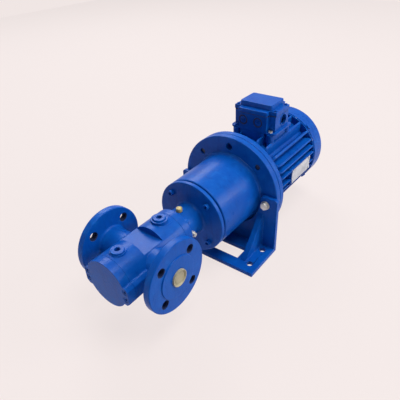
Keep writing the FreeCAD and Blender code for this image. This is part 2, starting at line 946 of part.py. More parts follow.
def makeDriveCover():
    fillet = d.neckFillet
    neck = d.neckRadius
    seat = gapped(d.pumpBearingRadius)
    seatEnd = coverFace + d.pumpBearingInset + d.pumpBearingWidth
    chamberEnd = discBack - d.sealLip
    spigotEnd = discBack + d.pumpSpigotLength
    cover = onShaft("DriveCoverTurned", [
        (coverFace, seat), (coverFace, d.chamberRadius - d.seatGap),
        (casingBack, d.chamberRadius - d.seatGap), (casingBack, d.barrelRadius),
        (coverBack - d.edgeCut, d.barrelRadius), (coverBack, d.barrelRadius - d.edgeCut),
        (coverBack, neck), (discFront - fillet, neck),
        Bend(discFront, neck + fillet, discFront - fillet, neck + fillet),
        (discFront, d.discRadius - d.edgeCut), (discFront + d.edgeCut, d.discRadius),
        (discBack, d.discRadius), (discBack, d.pumpSpigotRadius), (spigotEnd, d.pumpSpigotRadius),
        (spigotEnd, d.shaftHoleRadius),
        (chamberEnd, d.shaftHoleRadius), (chamberEnd, gapped(d.sealRadius)), (seatEnd, gapped(d.sealRadius)),
        (seatEnd, seat), (coverFace + d.clipInset + d.clipThickness, seat),
        (coverFace + d.clipInset + d.clipThickness, seat + d.clipDepth),
        (coverFace + d.clipInset, seat + d.clipDepth), (coverFace + d.clipInset, seat),
    ])
    tools = holeRing("CoverFix", gapped(d.earScrewRadius), d.coverLength + 2, casingBack - 1,
                     coverScrewCircle(), screwDiagonal)
    tools += holeRing("DiscHole", gapped(d.discScrewRadius), d.discThickness + 2, discFront - 1,
                      d.discScrewCircle, screwDiagonal)
    tools.append(rod("LeakHole", gapped(d.leakPlugStem), d.neckRadius + 1, discBack - d.leakPlugStation,
                     0, d.shaftHeight, alongZ))
    tools.append(rod("DrainHole", gapped(d.drainPlugStem), d.neckRadius + 1, discBack - d.drainPlugStation,
                     -(d.neckRadius + 1), d.shaftHeight, alongY))
    node("drive_cover", cut("DriveCover", cover, tools))
    screws = []
    for index, angle in enumerate(screwDiagonal):
        side, rise = roundAxis(coverScrewCircle(), angle)
        screws.append(capScrew("CoverScrew%d" % index, coverBack, side, rise, d.earScrewRadius,
                               d.coverLength + d.coverScrewReach, d.earScrewHeadRadius,
                               d.earScrewHeadHeight, -1))
    node("drive_cover_screws", together("CoverScrews", screws))
    screws = []
    for index, angle in enumerate(screwDiagonal):
        side, rise = roundAxis(d.discScrewCircle, angle)
        screws.append(capScrew("DiscScrew%d" % index, discFront, side, rise, d.discScrewRadius,
                               d.discThickness + d.discScrewReach, d.discScrewHeadRadius,
                               d.discScrewHeadHeight))
    node("disc_screws", together("DiscScrews", screws))


def makePumpRunningGear():
    shoulder = coverFace + d.pumpBearingInset
    race = d.pumpJournalRadius + d.innerRaceWall
    bearing("pump_bearing", shoulder, d.pumpBearingWidth, d.pumpJournalRadius, d.pumpBearingRadius)
    clipStart = coverFace + d.clipInset
    node("bearing_clip", onShaft("BearingClip", [
        (clipStart + d.seatGap, race + d.clipHeight),
        (clipStart + d.seatGap, d.pumpBearingRadius + d.clipDepth),
        (clipStart + d.clipThickness - d.seatGap, d.pumpBearingRadius + d.clipDepth),
        (clipStart + d.clipThickness - d.seatGap, race + d.clipHeight),
    ]))
    seatEnd = discBack - d.sealLip
    seatStart = seatEnd - d.sealSeatLength
    outer = d.sealRadius - d.sealStep
    inner = outer - d.sealStep
    node("seal_seat", onShaft("SealSeat", [
        (seatStart, d.shaftHoleRadius), (seatStart, outer), (seatStart + d.sealStep, d.sealRadius),
        (seatEnd, d.sealRadius), (seatEnd, d.shaftHoleRadius),
    ]))
    headStart = seatStart - d.sealHeadLength
    bore = gapped(d.pumpShaftRadius)
    node("seal_head", onShaft("SealHead", [
        (headStart, bore), (headStart, outer), (headStart + d.sealRing, outer),
        (headStart + d.sealRing + d.edgeCut, inner), (seatStart - d.sealFaceRing - d.edgeCut, inner),
        (seatStart - d.sealFaceRing, outer), (seatStart - d.sealStep, outer),
        (seatStart - d.runningGap, inner), (seatStart - d.runningGap, bore),
    ]))


def bearing(label, start, width, bore, outside):
    # sealed ball bearing, outer ring with its shields and inner ring
    split = bore + d.innerRaceWall
    edge = d.bearingEdge
    shield = split + d.shieldGap
    node(label + "_outer", onShaft(label + "Outer", [
        (start, shield), (start, outside - edge), (start + edge, outside), (start + width - edge, outside),
        (start + width, outside - edge), (start + width, shield),
        (start + width - d.edgeCut, split + d.runningGap), (start + d.edgeCut, split + d.runningGap),
    ]))
    node(label + "_inner", onShaft(label + "Inner", [
        (start, gapped(bore)), (start, split - edge), (start + edge, split), (start + width - edge, split),
        (start + width, split - edge), (start + width, gapped(bore)),
    ]))


def plugOutline(top, seatRadius, height, stemRadius, stemLength):
    # turned plug, distances run along its own axis, the collar seats at top
    return [
        (top - stemLength, 0), (top - stemLength, stemRadius), (top, stemRadius), (top, seatRadius),
        (top + height - d.fineCut, seatRadius), (top + height, seatRadius - d.fineCut), (top + height, 0),
    ]


def makePlugs():
    for label, x, top in (
        ("priming_plug", casingFront + d.endPlugStation, d.barrelRadius + d.endPlugBossRise),
        ("vent_plug", casingBack - d.neckPlugStation, d.barrelRadius + d.neckPlugBossRise),
    ):
        seat = d.shaftHeight + top
        plug = turned(label + "Turned", plugOutline(seat, d.plugRadius, d.plugCollar, d.plugThreadRadius,
                                                    d.plugThreadLength), "Z", (x, 0))
        socket = hexRod(label + "Socket", d.plugSocketRadius, d.plugSocketDepth + 1, x, 0,
                        seat + d.plugCollar - d.plugSocketDepth, alongZ)
        node(label, cut(label + "Cut", plug, [socket]))
    seat = d.shaftHeight + d.neckRadius
    leakPlug = plugOutline(seat, d.leakPlugRadius, d.leakPlugHeight, d.leakPlugStem, d.leakPlugStemLength)
    node("leak_plug", turned("LeakPlug", leakPlug, "Z", (discBack - d.leakPlugStation, 0)))
    drainX = discBack - d.drainPlugStation
    nut = hexRod("DrainNut", d.drainPlugRadius, d.drainNutHeight, drainX, -(d.neckRadius + d.drainNutHeight),
                 d.shaftHeight, alongY)
    pipe = rod("DrainPipe", d.drainPlugStem, d.drainPlugHeight + d.drainPipeDepth, drainX,
               -(d.neckRadius + d.drainPlugHeight), d.shaftHeight, alongY)
    node("drain_fitting", join("DrainFitting", [nut, pipe]))
    for label, way in (("suction_plug", -1), ("discharge_plug", 1)):
        face = d.portFaceHalf
        stem = d.portBoreRadius - d.seatGap
        wall = d.portPlugWall
        outline = [
            (face - d.portPlugDepth, 0), (face - d.portPlugDepth, stem - d.edgeCut),
            (face - d.portPlugDepth + d.edgeCut, stem), (face, stem), (face, d.portPlugRadius),
            (face + d.portPlugHeight - d.fineCut, d.portPlugRadius),
            (face + d.portPlugHeight, d.portPlugRadius - d.fineCut),
            (face + d.portPlugHeight, d.portPlugRadius - wall),
            (face + d.edgeCut, d.portPlugRadius - wall - d.fineCut), (face + d.edgeCut, 0),
        ]
        if way < 0:
            outline = [(-sized(along), across) for along, across in outline]
        node(label, turned(label + "Turned", outline, "Y", (portX, d.shaftHeight)))


# bell housing, bracket and coupling


def makeBell():
    front = discBack
    shell = front + d.bellBossHeight
    ringStart = flangeFace - d.bellRingHeight
    seat = gapped(d.spigotRadius)
    rim = d.flangeRadius - d.edgeCut
    floor = jointFace - d.motorSpigotHeight - 1
    bell = onShaft("BellTurned", [
        (front, gapped(d.pumpSpigotRadius)), (front, d.bellBossRadius), (shell, d.bellBossRadius),
        (shell, d.bellFrontRadius - d.bellEdge), (shell + d.bellEdge, d.bellFrontRadius),
        (ringStart - d.bellFillet, d.bellBackRadius), (ringStart, d.bellBackRadius + d.bellFillet),
        (ringStart, d.bellRingRadius - d.edgeCut), (ringStart + d.edgeCut, d.bellRingRadius),
        (flangeFace, d.bellRingRadius), (flangeFace, rim), (flangeFace + d.edgeCut, d.flangeRadius),
        (jointFace - d.edgeCut, d.flangeRadius), (jointFace, rim), (jointFace, seat), (floor, seat),
        (floor, d.bellInnerRadius), (shell + d.bellWall, d.bellInnerRadius),
        (shell + d.bellWall, gapped(d.pumpSpigotRadius)),
    ])
    thick = d.bellFlangeThickness + 4
    tools = holeRing("MotorScrewHole", gapped(d.motorScrewRadius), thick, flangeFace - 2,
                     d.flangeHoleCircle, screwDiagonal)
    tools += holeRing("SpareHole", d.spareHoleRadius, thick, flangeFace - 2, d.flangeHoleCircle, (90, 270))
    tools += holeRing("BracketHole", gapped(d.bracketBoltRadius), thick, flangeFace - 2,
                      d.flangeHoleCircle, bracketAngles)
    tools += holeRing("BellDiscHole", gapped(d.discScrewRadius), d.discScrewReach + d.threadRunout + 1,
                      front - 1, d.discScrewCircle, screwDiagonal)
    node("bell_housing", cut("Bell", bell, tools))
    screws = []
    for index, angle in enumerate(screwDiagonal):
        side, rise = roundAxis(d.flangeHoleCircle, angle)
        screws.append(hexScrew("FlangeScrew%d" % index, flangeBack, side, rise, d.motorScrewRadius,
                               d.motorFlangeThickness + d.bellFlangeThickness - d.motorScrewStop,
                               d.motorScrewHead, d.motorScrewHeadHeight, -1))
    node("flange_screws", together("FlangeScrews", screws))


bracketAngles = (-4.5, 184.5)
plateFace = flangeFace - d.footPlateThickness


def footPlateOutline():
    # heights above the floor, the opening clears the bell
    half = d.footWidth / 2
    top = d.shaftHeight + d.footArmRise
    nip = d.footArmCorner
    opening = d.footOpeningRadius
    axis = d.shaftHeight
    return [
        (-half, 0), (half, 0), (half, top - nip), Bend(half - nip, top, half - nip, top - nip),
        (opening + nip, top), Bend(opening, top - nip, opening + nip, top - nip), (opening, axis),
        Bend(0, axis - opening, 0, axis), Bend(-opening, axis, 0, axis),
        (-opening, top - nip), Bend(-(opening + nip), top, -(opening + nip), top - nip),
        (nip - half, top), Bend(-half, top - nip, nip - half, top - nip),
    ]


def ribOutline():
    # side view, a shallow curve runs from the plate down to the base
    low = d.footThickness - 1
    foot = plateFace + d.footPlateThickness - d.ribReach
    crest = d.shaftHeight - d.ribDrop
    bulge = d.ribBulge
    return [(foot, low), (plateFace + 1, low), (plateFace + 1, crest), (plateFace, crest),
            Bend(foot, d.footThickness + 1, foot - bulge, crest + bulge)]


def makeBracket():
    base = block("FootBase", flangeFace - d.footLength, -(d.footWidth / 2), 0, d.footLength, d.footWidth,
                 d.footThickness)
    plate = padded("FootPlate", "YZ_Plane", footPlateOutline(), d.footPlateThickness, (plateFace, 0, 0))
    pieces = [base, plate]
    for side in (-1, 1):
        start = d.ribInside * side if side < 0 else d.ribInside + d.ribThickness
        pieces.append(padded("Rib%s" % ("Right" if side < 0 else "Left"), "XZ_Plane", ribOutline(),
                             d.ribThickness, (0, start, 0)))
    windowHalf = d.ribInside - d.footWindowInset
    tools = [block("FootWindow", flangeFace - d.footLength + d.footBarWidth, -windowHalf, -1,
                   d.footWindowLength, windowHalf * 2, d.footThickness + 2)]
    for along in (-1, 1):
        for side in (-1, 1):
            tools.append(rod("FootHole%d%d" % (along + 1, side + 1), d.footHoleRadius, d.footThickness + 2,
                             d.footHolePitchX / 2 * along, d.footHolePitchY / 2 * side, -1, alongZ))
    tools += holeRing("ArmHole", d.bracketBoltRadius + d.freeGap, d.footPlateThickness + 2, plateFace - 1,
                      d.flangeHoleCircle, bracketAngles)
    node("foot_bracket", cut("FootBracket", join("FootBlank", pieces), tools))
    bolts = []
    washers = []
    seat = plateFace - d.bracketWasherThickness
    for index, angle in enumerate(bracketAngles):
        across, level = roundAxis(d.flangeHoleCircle, angle)
        bolts.append(hexScrew("BracketBolt%d" % index, seat, across, level, d.bracketBoltRadius,
                              d.bracketWasherThickness + d.footPlateThickness + d.bellFlangeThickness - 1,
                              d.bracketHeadRadius, d.bracketHeadHeight))
        washers.append(cut("Washer%d" % index,
                           rod("WasherBlank%d" % index, d.bracketWasherRadius, d.bracketWasherThickness,
                               seat, across, level),
                           [rod("WasherHole%d" % index, gapped(d.bracketBoltRadius),
                                d.bracketWasherThickness + 2, seat - 1, across, level)]))
    node("bracket_bolts", together("BracketBolts", bolts))
    node("bracket_washers", together("BracketWashers", washers))


jawCount = 3
spiderArmAngle = 17
jawSlackAngle = 1


def hub(name, start, jawStart, bore, firstJaw, keySize, keyStation):
    # coupling half with its jaws, jawStart is the lower end of the jaws
    pitch = 360 / jawCount
    jawWidth = pitch / 2 - spiderArmAngle - jawSlackAngle
    jaws = [sector("%sJaw%d" % (name, index), d.hubRadius, d.jawLength + 1, jawStart,
                   firstJaw + index * pitch, jawWidth) for index in range(jawCount)]
    well = rod(name + "Well", d.jawInnerRadius, d.jawLength + 2, jawStart - 1 / 2, 0, d.shaftHeight)
    body = join(name + "Blank", [rod(name + "Boss", d.hubRadius, d.hubLength, start, 0, d.shaftHeight),
                                 cut(name + "Jaws", join(name + "JawRing", jaws), [well])])
    opening = rod(name + "Bore", gapped(bore), d.hubLength + 2, start - 1, 0, d.shaftHeight)
    keyway = block(name + "Keyway", keyStation, -(keySize / 2 + d.seatGap), d.shaftHeight, d.hubLength + 2,
                   keySize + d.seatGap * 2, bore + d.keyStand + d.seatGap * 2)
    return cut(name, body, [opening, keyway])


def makeCoupling():
    armPitch = 180 / jawCount
    node("pump_coupling_hub", hub("PumpHub", hubStart, spiderStart - 1, d.pumpShaftRadius, armPitch / 2,
                                  d.keyWidth, hubStart - 1))
    node("motor_coupling_hub", hub("MotorHub", motorHubStart, motorHubStart - d.jawLength, d.motorShaftRadius,
                                   armPitch * 3 / 2, d.motorKeyWidth, motorHubStart - 1))
    width = d.spiderGap - d.seatGap * 2
    start = spiderStart + d.seatGap
    arms = [sector("Arm%d" % index, d.hubRadius - d.spiderSlack, width, start, index * armPitch,
                   spiderArmAngle) for index in range(jawCount * 2)]
    core = rod("SpiderCore", d.jawInnerRadius - d.freeGap, width, start, 0, d.shaftHeight)
    eye = rod("SpiderEye", d.spiderBore, d.spiderGap + 2, spiderStart - 1, 0, d.shaftHeight)
    node("coupling_spider", cut("Spider", join("SpiderBlank", [core] + arms), [eye]))
    node("pump_key", block("PumpKey", hubStart + 1, -(d.keyWidth / 2) + d.keySlack,
                           d.shaftHeight + d.pumpShaftRadius - d.keyDepth, d.pumpKeyLength,
                           d.keyWidth - d.keySlack * 2, d.keyDepth + d.keyStand))
    node("motor_key", block("MotorKey", motorShaftEnd + d.keyEndStop, -(d.motorKeyWidth / 2) + d.keySlack,
                            d.shaftHeight + d.motorShaftRadius - d.keyDepth, d.motorKeyLength,
                            d.motorKeyWidth - d.keySlack * 2, d.keyDepth + d.keyStand))


# motor

motorShaftEnd = jointFace - d.motorShaftReach
frontBearing = flangeBack - d.frontBearingInset
rearBearing = frameEnd + d.rearBearingReach - d.motorBearingWidth
statorStart = frameStart + d.statorStation
statorEnd = statorStart + d.statorLength
fanStart = frameEnd + d.fanStation
rearShieldEnd = frameEnd + d.rearShieldLength


def makeMotorFlange():
    seat = gapped(d.motorBearingRadius)
    register = d.frameInnerRadius - d.seatGap
    rim = d.frameInnerRadius - d.registerWall
    face = jointFace - d.motorSpigotHeight
    recess = jointFace + 1
    hollow = d.spigotRadius - d.spigotHollow
    boss = d.motorBearingRadius + d.bearingWall
    bossEnd = frontBearing + d.motorBearingWidth + 1
    shaftHole = d.motorJournalRadius + d.shaftSlack
    flange = onShaft("MotorFlangeTurned", [
        (face, hollow), (face, d.spigotRadius), (jointFace, d.spigotRadius),
        (jointFace, d.flangeRadius - d.edgeCut), (jointFace + d.edgeCut, d.flangeRadius),
        (flangeBack - d.edgeCut, d.flangeRadius), (flangeBack, d.flangeRadius - d.edgeCut),
        (flangeBack, frameOutside + 1), (frameStart, frameOutside + 1), (frameStart, register),
        (frameStart + d.registerLength, register), (frameStart + d.registerLength, rim),
        (flangeBack - 1, rim), (flangeBack - 1, boss), (bossEnd, boss), (bossEnd, seat), (frontBearing, seat),
        (frontBearing, shaftHole), (recess, shaftHole), (recess, hollow),
    ])
    tools = holeRing("MotorFlangeHole", d.motorScrewRadius + 1, d.motorFlangeThickness + 2, jointFace - 1,
                     d.flangeHoleCircle, screwDiagonal)
    node("motor_flange", cut("MotorFlange", flange, tools))


def makeRearShield():
    seat = gapped(d.motorBearingRadius)
    register = d.frameInnerRadius - d.seatGap
    rim = d.frameInnerRadius - d.registerWall
    boss = d.motorBearingRadius + d.bearingWall
    bearingEnd = rearBearing + d.motorBearingWidth
    shaftHole = d.motorJournalRadius + d.shaftSlack
    registerStart = frameEnd - d.registerLength
    shield = onShaft("RearShieldTurned", [
        (registerStart, rim), (registerStart, register), (frameEnd, register), (frameEnd, frameOutside + 1),
        (rearShieldEnd, frameOutside + 1), (rearShieldEnd, shaftHole), (bearingEnd, shaftHole),
        (bearingEnd, seat), (rearBearing, seat), (rearBearing, boss), (frameEnd + 1, boss),
        (frameEnd + 1, rim),
    ])
    lugs = []
    for index, angle in enumerate(screwDiagonal):
        lug = doc.addObject("Part::Box", "CowlLug%d" % index)
        bind(lug, "Length", d.cowlLugLength)
        bind(lug, "Width", d.cowlLugWidth)
        bind(lug, "Height", d.cowlRadius)
        turn = Rotation(Vector(1, 0, 0), angle - 90)
        side, rise = lugCorner(angle)
        lugs.append(place(lug, cowlFront + 1, side, rise, turn))
    trim = rod("LugTrim", cowlInside - d.seatGap, d.cowlLugLength + 2, cowlFront, 0, d.shaftHeight)
    hollow = rod("LugHollow", frameOutside - d.cowlLugRoot, d.cowlLugLength + 4, cowlFront - 1, 0, d.shaftHeight)
    ring = cut("LugRing", common("LugsTrimmed", join("Lugs", lugs), trim), [hollow])
    depth = d.cowlScrewHoleDepth
    tools = [cowlScrewHole("LugScrewHole%d" % index, angle, gapped(d.cowlScrewRadius), depth + 1, depth)
             for index, angle in enumerate(screwDiagonal)]
    node("rear_shield", cut("RearShield", join("RearShieldBlank", [shield, ring]), tools))


def lugCorner(angle):
    # start corner of a radial lug whose middle line passes through the shaft axis
    half = d.cowlLugWidth / 2
    lean = math.radians(angle - 90)
    return -(half * math.cos(lean)), d.shaftHeight - half * math.sin(lean)


def cowlScrewHole(name, angle, radius, length, depth):
    # radial rod that starts depth below the cowl and runs outwards
    lean = math.radians(angle - 90)
    turn = Rotation(Vector(1, 0, 0), angle - 90)
    reach = d.cowlRadius - depth
    return rod(name, radius, length, cowlFront + 1 + d.cowlLugLength / 2, -(reach * math.sin(lean)),
               d.shaftHeight + reach * math.cos(lean), turn)


# places of the upright fins in pitches from the middle, the upper side leaves room for the box
lowerFins = (-2.7, -1.7, -0.7, 0.7, 1.7, 2.7)
upperFins = (-3.25, -1.7, 1.7, 3.25)
# where the combs start, as a share of the bore of the frame
combBaseShare = 0.87


def combOutline(offsets):
    # one side of the frame with straight fins that stand up from the tube
    root = d.finRoot / 2
    tip = d.finTip / 2
    reach = d.finTipRadius + 1
    base = d.frameInnerRadius * combBaseShare
    low = base - d.finRootDepth
    points = [(sized(offsets[0]) - root, low), (sized(offsets[-1]) + root, low)]
    for offset in reversed(offsets):
        offset = sized(offset)
        points += [(offset + root, base), (offset + tip, reach), (offset - tip, reach), (offset - root, base)]
    return points[:2] + points[3:-1]


def makeFrame():
    tube = rod("FrameTube", frameOutside, d.frameLength, frameStart, 0, d.shaftHeight)
    sides = []
    lower = [d.finPitch * step for step in lowerFins]
    upper = [d.finPitch * step for step in upperFins]
    for index, (turnAngle, offsets) in enumerate(((90, lower), (270, lower), (180, lower), (0, upper))):
        sides.append(padded("Comb%d" % index, "YZ_Plane", combOutline(offsets), d.frameLength,
                            (frameStart, 0, d.shaftHeight), 0, Rotation(Vector(1, 0, 0), turnAngle)))
    root = d.cornerFinRoot / 2
    tip = d.cornerFinTip / 2
    low = frameOutside - d.finRootDepth
    for index, angle in enumerate(cornerFinAngles()):
        outline = [(-root, low), (root, low), (tip, d.finCornerRadius), (-tip, d.finCornerRadius)]
        sides.append(padded("CornerFin%d" % index, "YZ_Plane", outline, d.frameLength,
                            (frameStart, 0, d.shaftHeight), 0, Rotation(Vector(1, 0, 0), angle - 90)))
    fins = common("Fins", join("Combs", sides), onShaft("FinTrim", finTrimOutline()))
    pad = block("BoxPad", boxFront, -d.pedestalHalfWidth, d.shaftHeight + d.frameInnerRadius, d.boxLength,
                d.pedestalHalfWidth * 2, d.boxFloor - d.frameInnerRadius)
    bosses = [rod("BoxBoss%d" % index, d.boxBossRadius, d.boxFloor - boxBossStart, x, y,
                  d.shaftHeight + boxBossStart, alongZ) for index, (x, y) in enumerate(boxScrewPlaces())]
    margin = d.platePadMargin
    platePad = block("PlatePad", plateStart - margin, -d.finTipRadius, plateBottom - margin,
                     d.plateLength + margin * 2, d.finTipRadius - low, d.plateHeight + margin * 2)
    outside = join("FrameOutside", [tube, fins, pad, platePad] + bosses)
    tools = [
        rod("FrameBore", d.frameInnerRadius, d.frameLength + 2, frameStart - 1, 0, d.shaftHeight),
        rod("LeadHole", d.leadHoleRadius, d.boxFloor + 1, boxCentre, 0, d.shaftHeight, alongZ),
    ]
    for index, (x, y) in enumerate(boxScrewPlaces()):
        tools.append(rod("BoxScrewHole%d" % index, gapped(d.boxScrewRadius), d.boxScrewDepth + 1,
                         x, y, d.shaftHeight + d.boxFloor - d.boxScrewDepth, alongZ))
    for index, (x, z) in enumerate(rivetPlaces()):
        tools.append(rod("RivetHole%d" % index, gapped(d.rivetRadius), d.rivetLength + 1, x,
                         -(d.finTipRadius + 1), z, alongY))
    node("motor_frame", cut("Frame", outside, tools))


def cornerFinAngles():
    lean = d.finCornerAngle.value
    return (lean, 180 - lean, 180 + lean, 360 - lean)


def finTrimOutline():
    # the fins start behind a bare length of tube, each with a rounded nose
    full = d.finTipRadius
    top = frameStart + d.finRise
    bend = d.finRiseRadius
    return [
        (frameStart, 0), (frameStart, frameOutside - 1), (top - bend, frameOutside - 1),
        (top - bend, full - bend), Bend(top, full, top, full - bend), (frameEnd, full), (frameEnd, 0),
    ]


# the box bosses start this far up, as a share of the bore of the frame
bossBaseShare = 0.75
frameOutside = d.frameInnerRadius + d.frameWall
boxBossStart = d.frameInnerRadius * bossBaseShare
cowlInside = d.cowlRadius - d.cowlWall
boxFront = jointFace + d.boxStart
boxBack = boxFront + d.boxLength
boxCentre = boxFront + d.boxLength / 2
plateStart = jointFace + d.plateStation
plateBottom = d.shaftHeight - d.plateHeight / 2 - d.plateDrop


def makeWindings():
    bore = gapped(d.statorBoreRadius)
    node("stator_core", onShaft("StatorCore", [
        (statorStart, bore), (statorStart, d.frameInnerRadius - d.seatGap),
        (statorEnd, d.frameInnerRadius - d.seatGap), (statorEnd, bore),
    ]))
    ends = []
    for index, (start, finish) in enumerate(((statorStart - d.windingReach, statorStart),
                                             (statorEnd, statorEnd + d.windingReach))):
        low = d.windingInnerRadius
        high = d.windingOuterRadius
        edge = d.windingEdge
        ends.append(onShaft("Winding%d" % index, [
            (start, low + edge), (start, high - edge), (start + edge, high), (finish - edge, high),
            (finish, high - edge), (finish, low + edge), (finish - edge, low), (start + edge, low),
        ]))
    node("stator_windings", together("Windings", ends))


def makeRotor():
    bore = d.rotorBoreRadius
    outside = d.statorBoreRadius - d.airGap
    ring = d.endRingLength
    low = bore + d.endRingHollow
    high = outside - d.endRingStep
    node("rotor_core", onShaft("RotorCore", [
        (statorStart - ring, low), (statorStart - ring, high), (statorStart, high), (statorStart, outside),
        (statorEnd, outside), (statorEnd, high), (statorEnd + ring, high), (statorEnd + ring, low),
        (statorEnd, low), (statorEnd, gapped(bore)), (statorStart, gapped(bore)), (statorStart, low),
    ]))
    frontShoulder = frontBearing + d.motorBearingWidth
    journal = d.motorJournalRadius
    shaft = onShaft("MotorShaftTurned", [
        (motorShaftEnd, 0), (motorShaftEnd, d.motorShaftRadius - d.edgeCut),
        (motorShaftEnd + d.edgeCut, d.motorShaftRadius),
        (jointFace, d.motorShaftRadius), (jointFace, journal), (frontShoulder, journal),
        (frontShoulder, bore), (rearBearing, bore), (rearBearing, journal),
        (rearShieldEnd + 1, journal), (rearShieldEnd + 1, d.fanSeatRadius),
        (fanStart + d.fanWidth, d.fanSeatRadius), (fanStart + d.fanWidth, 0),
    ])
    keyway = block("MotorKeyway", motorShaftEnd + d.keyEndStop, -(d.motorKeyWidth / 2),
                   d.shaftHeight + d.motorShaftRadius - d.keyDepth, d.motorKeyLength, d.motorKeyWidth,
                   d.keyHeight)
    node("motor_shaft", cut("MotorShaft", shaft, [keyway]))
    bearing("front_bearing", frontBearing, d.motorBearingWidth, journal, d.motorBearingRadius)
    bearing("rear_bearing", rearBearing, d.motorBearingWidth, journal, d.motorBearingRadius)


bladeCount = 8


def makeFan():
    hubBlank = rod("FanHub", d.fanHubRadius, d.fanWidth, fanStart, 0, d.shaftHeight)
    disc = rod("FanDisc", d.fanRadius - d.fanDiscInset, d.fanDiscThickness, fanStart, 0, d.shaftHeight)
    blades = []
    pitch = 360 / bladeCount
    for index in range(bladeCount):
        blade = doc.addObject("Part::Box", "FanBlade%d" % index)
        bind(blade, "Length", d.fanWidth - d.fanBladeStep)
        bind(blade, "Width", d.fanBladeThickness)
        bind(blade, "Height", d.fanRadius)
        turn = Rotation(Vector(1, 0, 0), pitch * (index + 1 / 2))
        blades.append(place(blade, fanStart, 0, d.shaftHeight, turn))
    bore = rod("FanBore", gapped(d.fanSeatRadius), d.fanWidth + 2, fanStart - 1, 0, d.shaftHeight)
    node("cooling_fan", cut("Fan", join("FanBlank", [hubBlank, disc] + blades), [bore]))


slotCount = 12


def cowlSlots(ring, inner, outer):
    # a ring of radial slots through the end of the cowl
    slots = []
    pitch = 360 / slotCount
    half = d.cowlSlotWidth / 2
    for index in range(slotCount):
        slot = doc.addObject("Part::Box", "CowlSlot%d_%d" % (ring, index))
        angle = (index + ring / 2) * pitch
        lean = math.radians(angle)
        bind(slot, "Length", d.cowlWall + 2)
        bind(slot, "Width", d.cowlSlotWidth)
        bind(slot, "Height", outer - inner)
        side = -(inner * math.sin(lean)) - half * math.cos(lean)
        rise = d.shaftHeight + inner * math.cos(lean) - half * math.sin(lean)
        slots.append(place(slot, cowlEnd - d.cowlWall - 1, side, rise, Rotation(Vector(1, 0, 0), angle)))
    return slots


def makeCowl():
    bend = d.cowlCorner
    inside = cowlInside
    shell = onShaft("CowlTurned", [
        (cowlFront, inside), (cowlFront, d.cowlRadius), (cowlEnd - bend, d.cowlRadius),
        Bend(cowlEnd, d.cowlRadius - bend, cowlEnd - bend, d.cowlRadius - bend), (cowlEnd, 0),
        (cowlEnd - d.cowlWall, 0), (cowlEnd - d.cowlWall, d.cowlRadius - bend),
        Bend(cowlEnd - bend, inside, cowlEnd - bend, d.cowlRadius - bend),
    ])
    tools = cowlSlots(0, d.cowlSlotInner, d.cowlSlotBreak)
    tools += cowlSlots(1, d.cowlSlotBreak + d.cowlSlotGap, d.cowlSlotOuter)
    screws = []
    for index, angle in enumerate(screwDiagonal):
        tools.append(cowlScrewHole("CowlScrewHole%d" % index, angle, gapped(d.cowlScrewRadius),
                                   d.cowlWall * 3, d.cowlWall * 2))
        screws.append(join("CowlScrew%d" % index, [
            cowlScrewHole("CowlScrewShank%d" % index, angle, d.cowlScrewRadius, d.cowlScrewReach + 1,
                          d.cowlScrewReach),
            cowlScrewHole("CowlScrewHead%d" % index, angle, d.cowlScrewHead, d.cowlScrewHeadHeight, 0),
        ]))
    node("fan_cowl", cut("Cowl", shell, tools))
    node("cowl_screws", together("CowlScrews", screws))


# terminal box


def boxCorners(along, across):
    # four places set in from the corners of the box
    return [(x, y) for x in (boxFront + along, boxBack - along)
            for y in (d.boxHalfWidth - across, across - d.boxHalfWidth)]


def boxScrewPlaces():
    return boxCorners(d.boxScrewStation, d.boxScrewInset)


def lidScrewPlaces():
    return boxCorners(d.lidScrewStation, d.lidScrewInset)


def cornerNotches(name, bottom, height, margin):
    # what is taken out of the four corners so that the base screws can be reached from above
    length = d.boxNotchLength + margin
    width = d.boxNotchWidth + margin
    notches = []
    for x in (boxFront - margin, boxBack - d.boxNotchLength):
        for y in (-(d.boxHalfWidth + margin), d.boxHalfWidth - d.boxNotchWidth):
            notches.append(block("%s%d" % (name, len(notches)), x, y, bottom, length, width, height))
    return notches


def boxRoom(name, bottom, height):
    # the cross-shaped room between the corner posts
    half = d.boxHalfWidth
    wall = d.boxWall
    post = half - d.boxPost
    return [
        block(name + "Along", boxFront + wall, -post, bottom, d.boxLength - wall * 2, post * 2, height),
        block(name + "Across", boxFront + d.boxPostLength, -(half - wall), bottom,
              d.boxLength - d.boxPostLength * 2, (half - wall) * 2, height),
    ]


def blankGrooves():
    # two blanked cable entries, each a ring groove round a disc with a dimple
    grooves = []
    level = d.shaftHeight + d.blankLevel
    for index, y in enumerate((d.blankOffset, d.blankOffset - d.blankSpacing)):
        ring = cut("BlankRing%d" % index,
                   rod("BlankOuter%d" % index, d.blankRadius, d.blankDepth + 1, boxFront - 1, y, level),
                   [rod("BlankDisc%d" % index, d.blankDiscRadius, d.blankDepth + 3, boxFront - 2, y, level)])
        grooves += [ring, rod("BlankDimple%d" % index, d.blankDimpleRadius, d.blankDepth / 2 + 1,
                              boxFront - 1, y, level)]
    return grooves


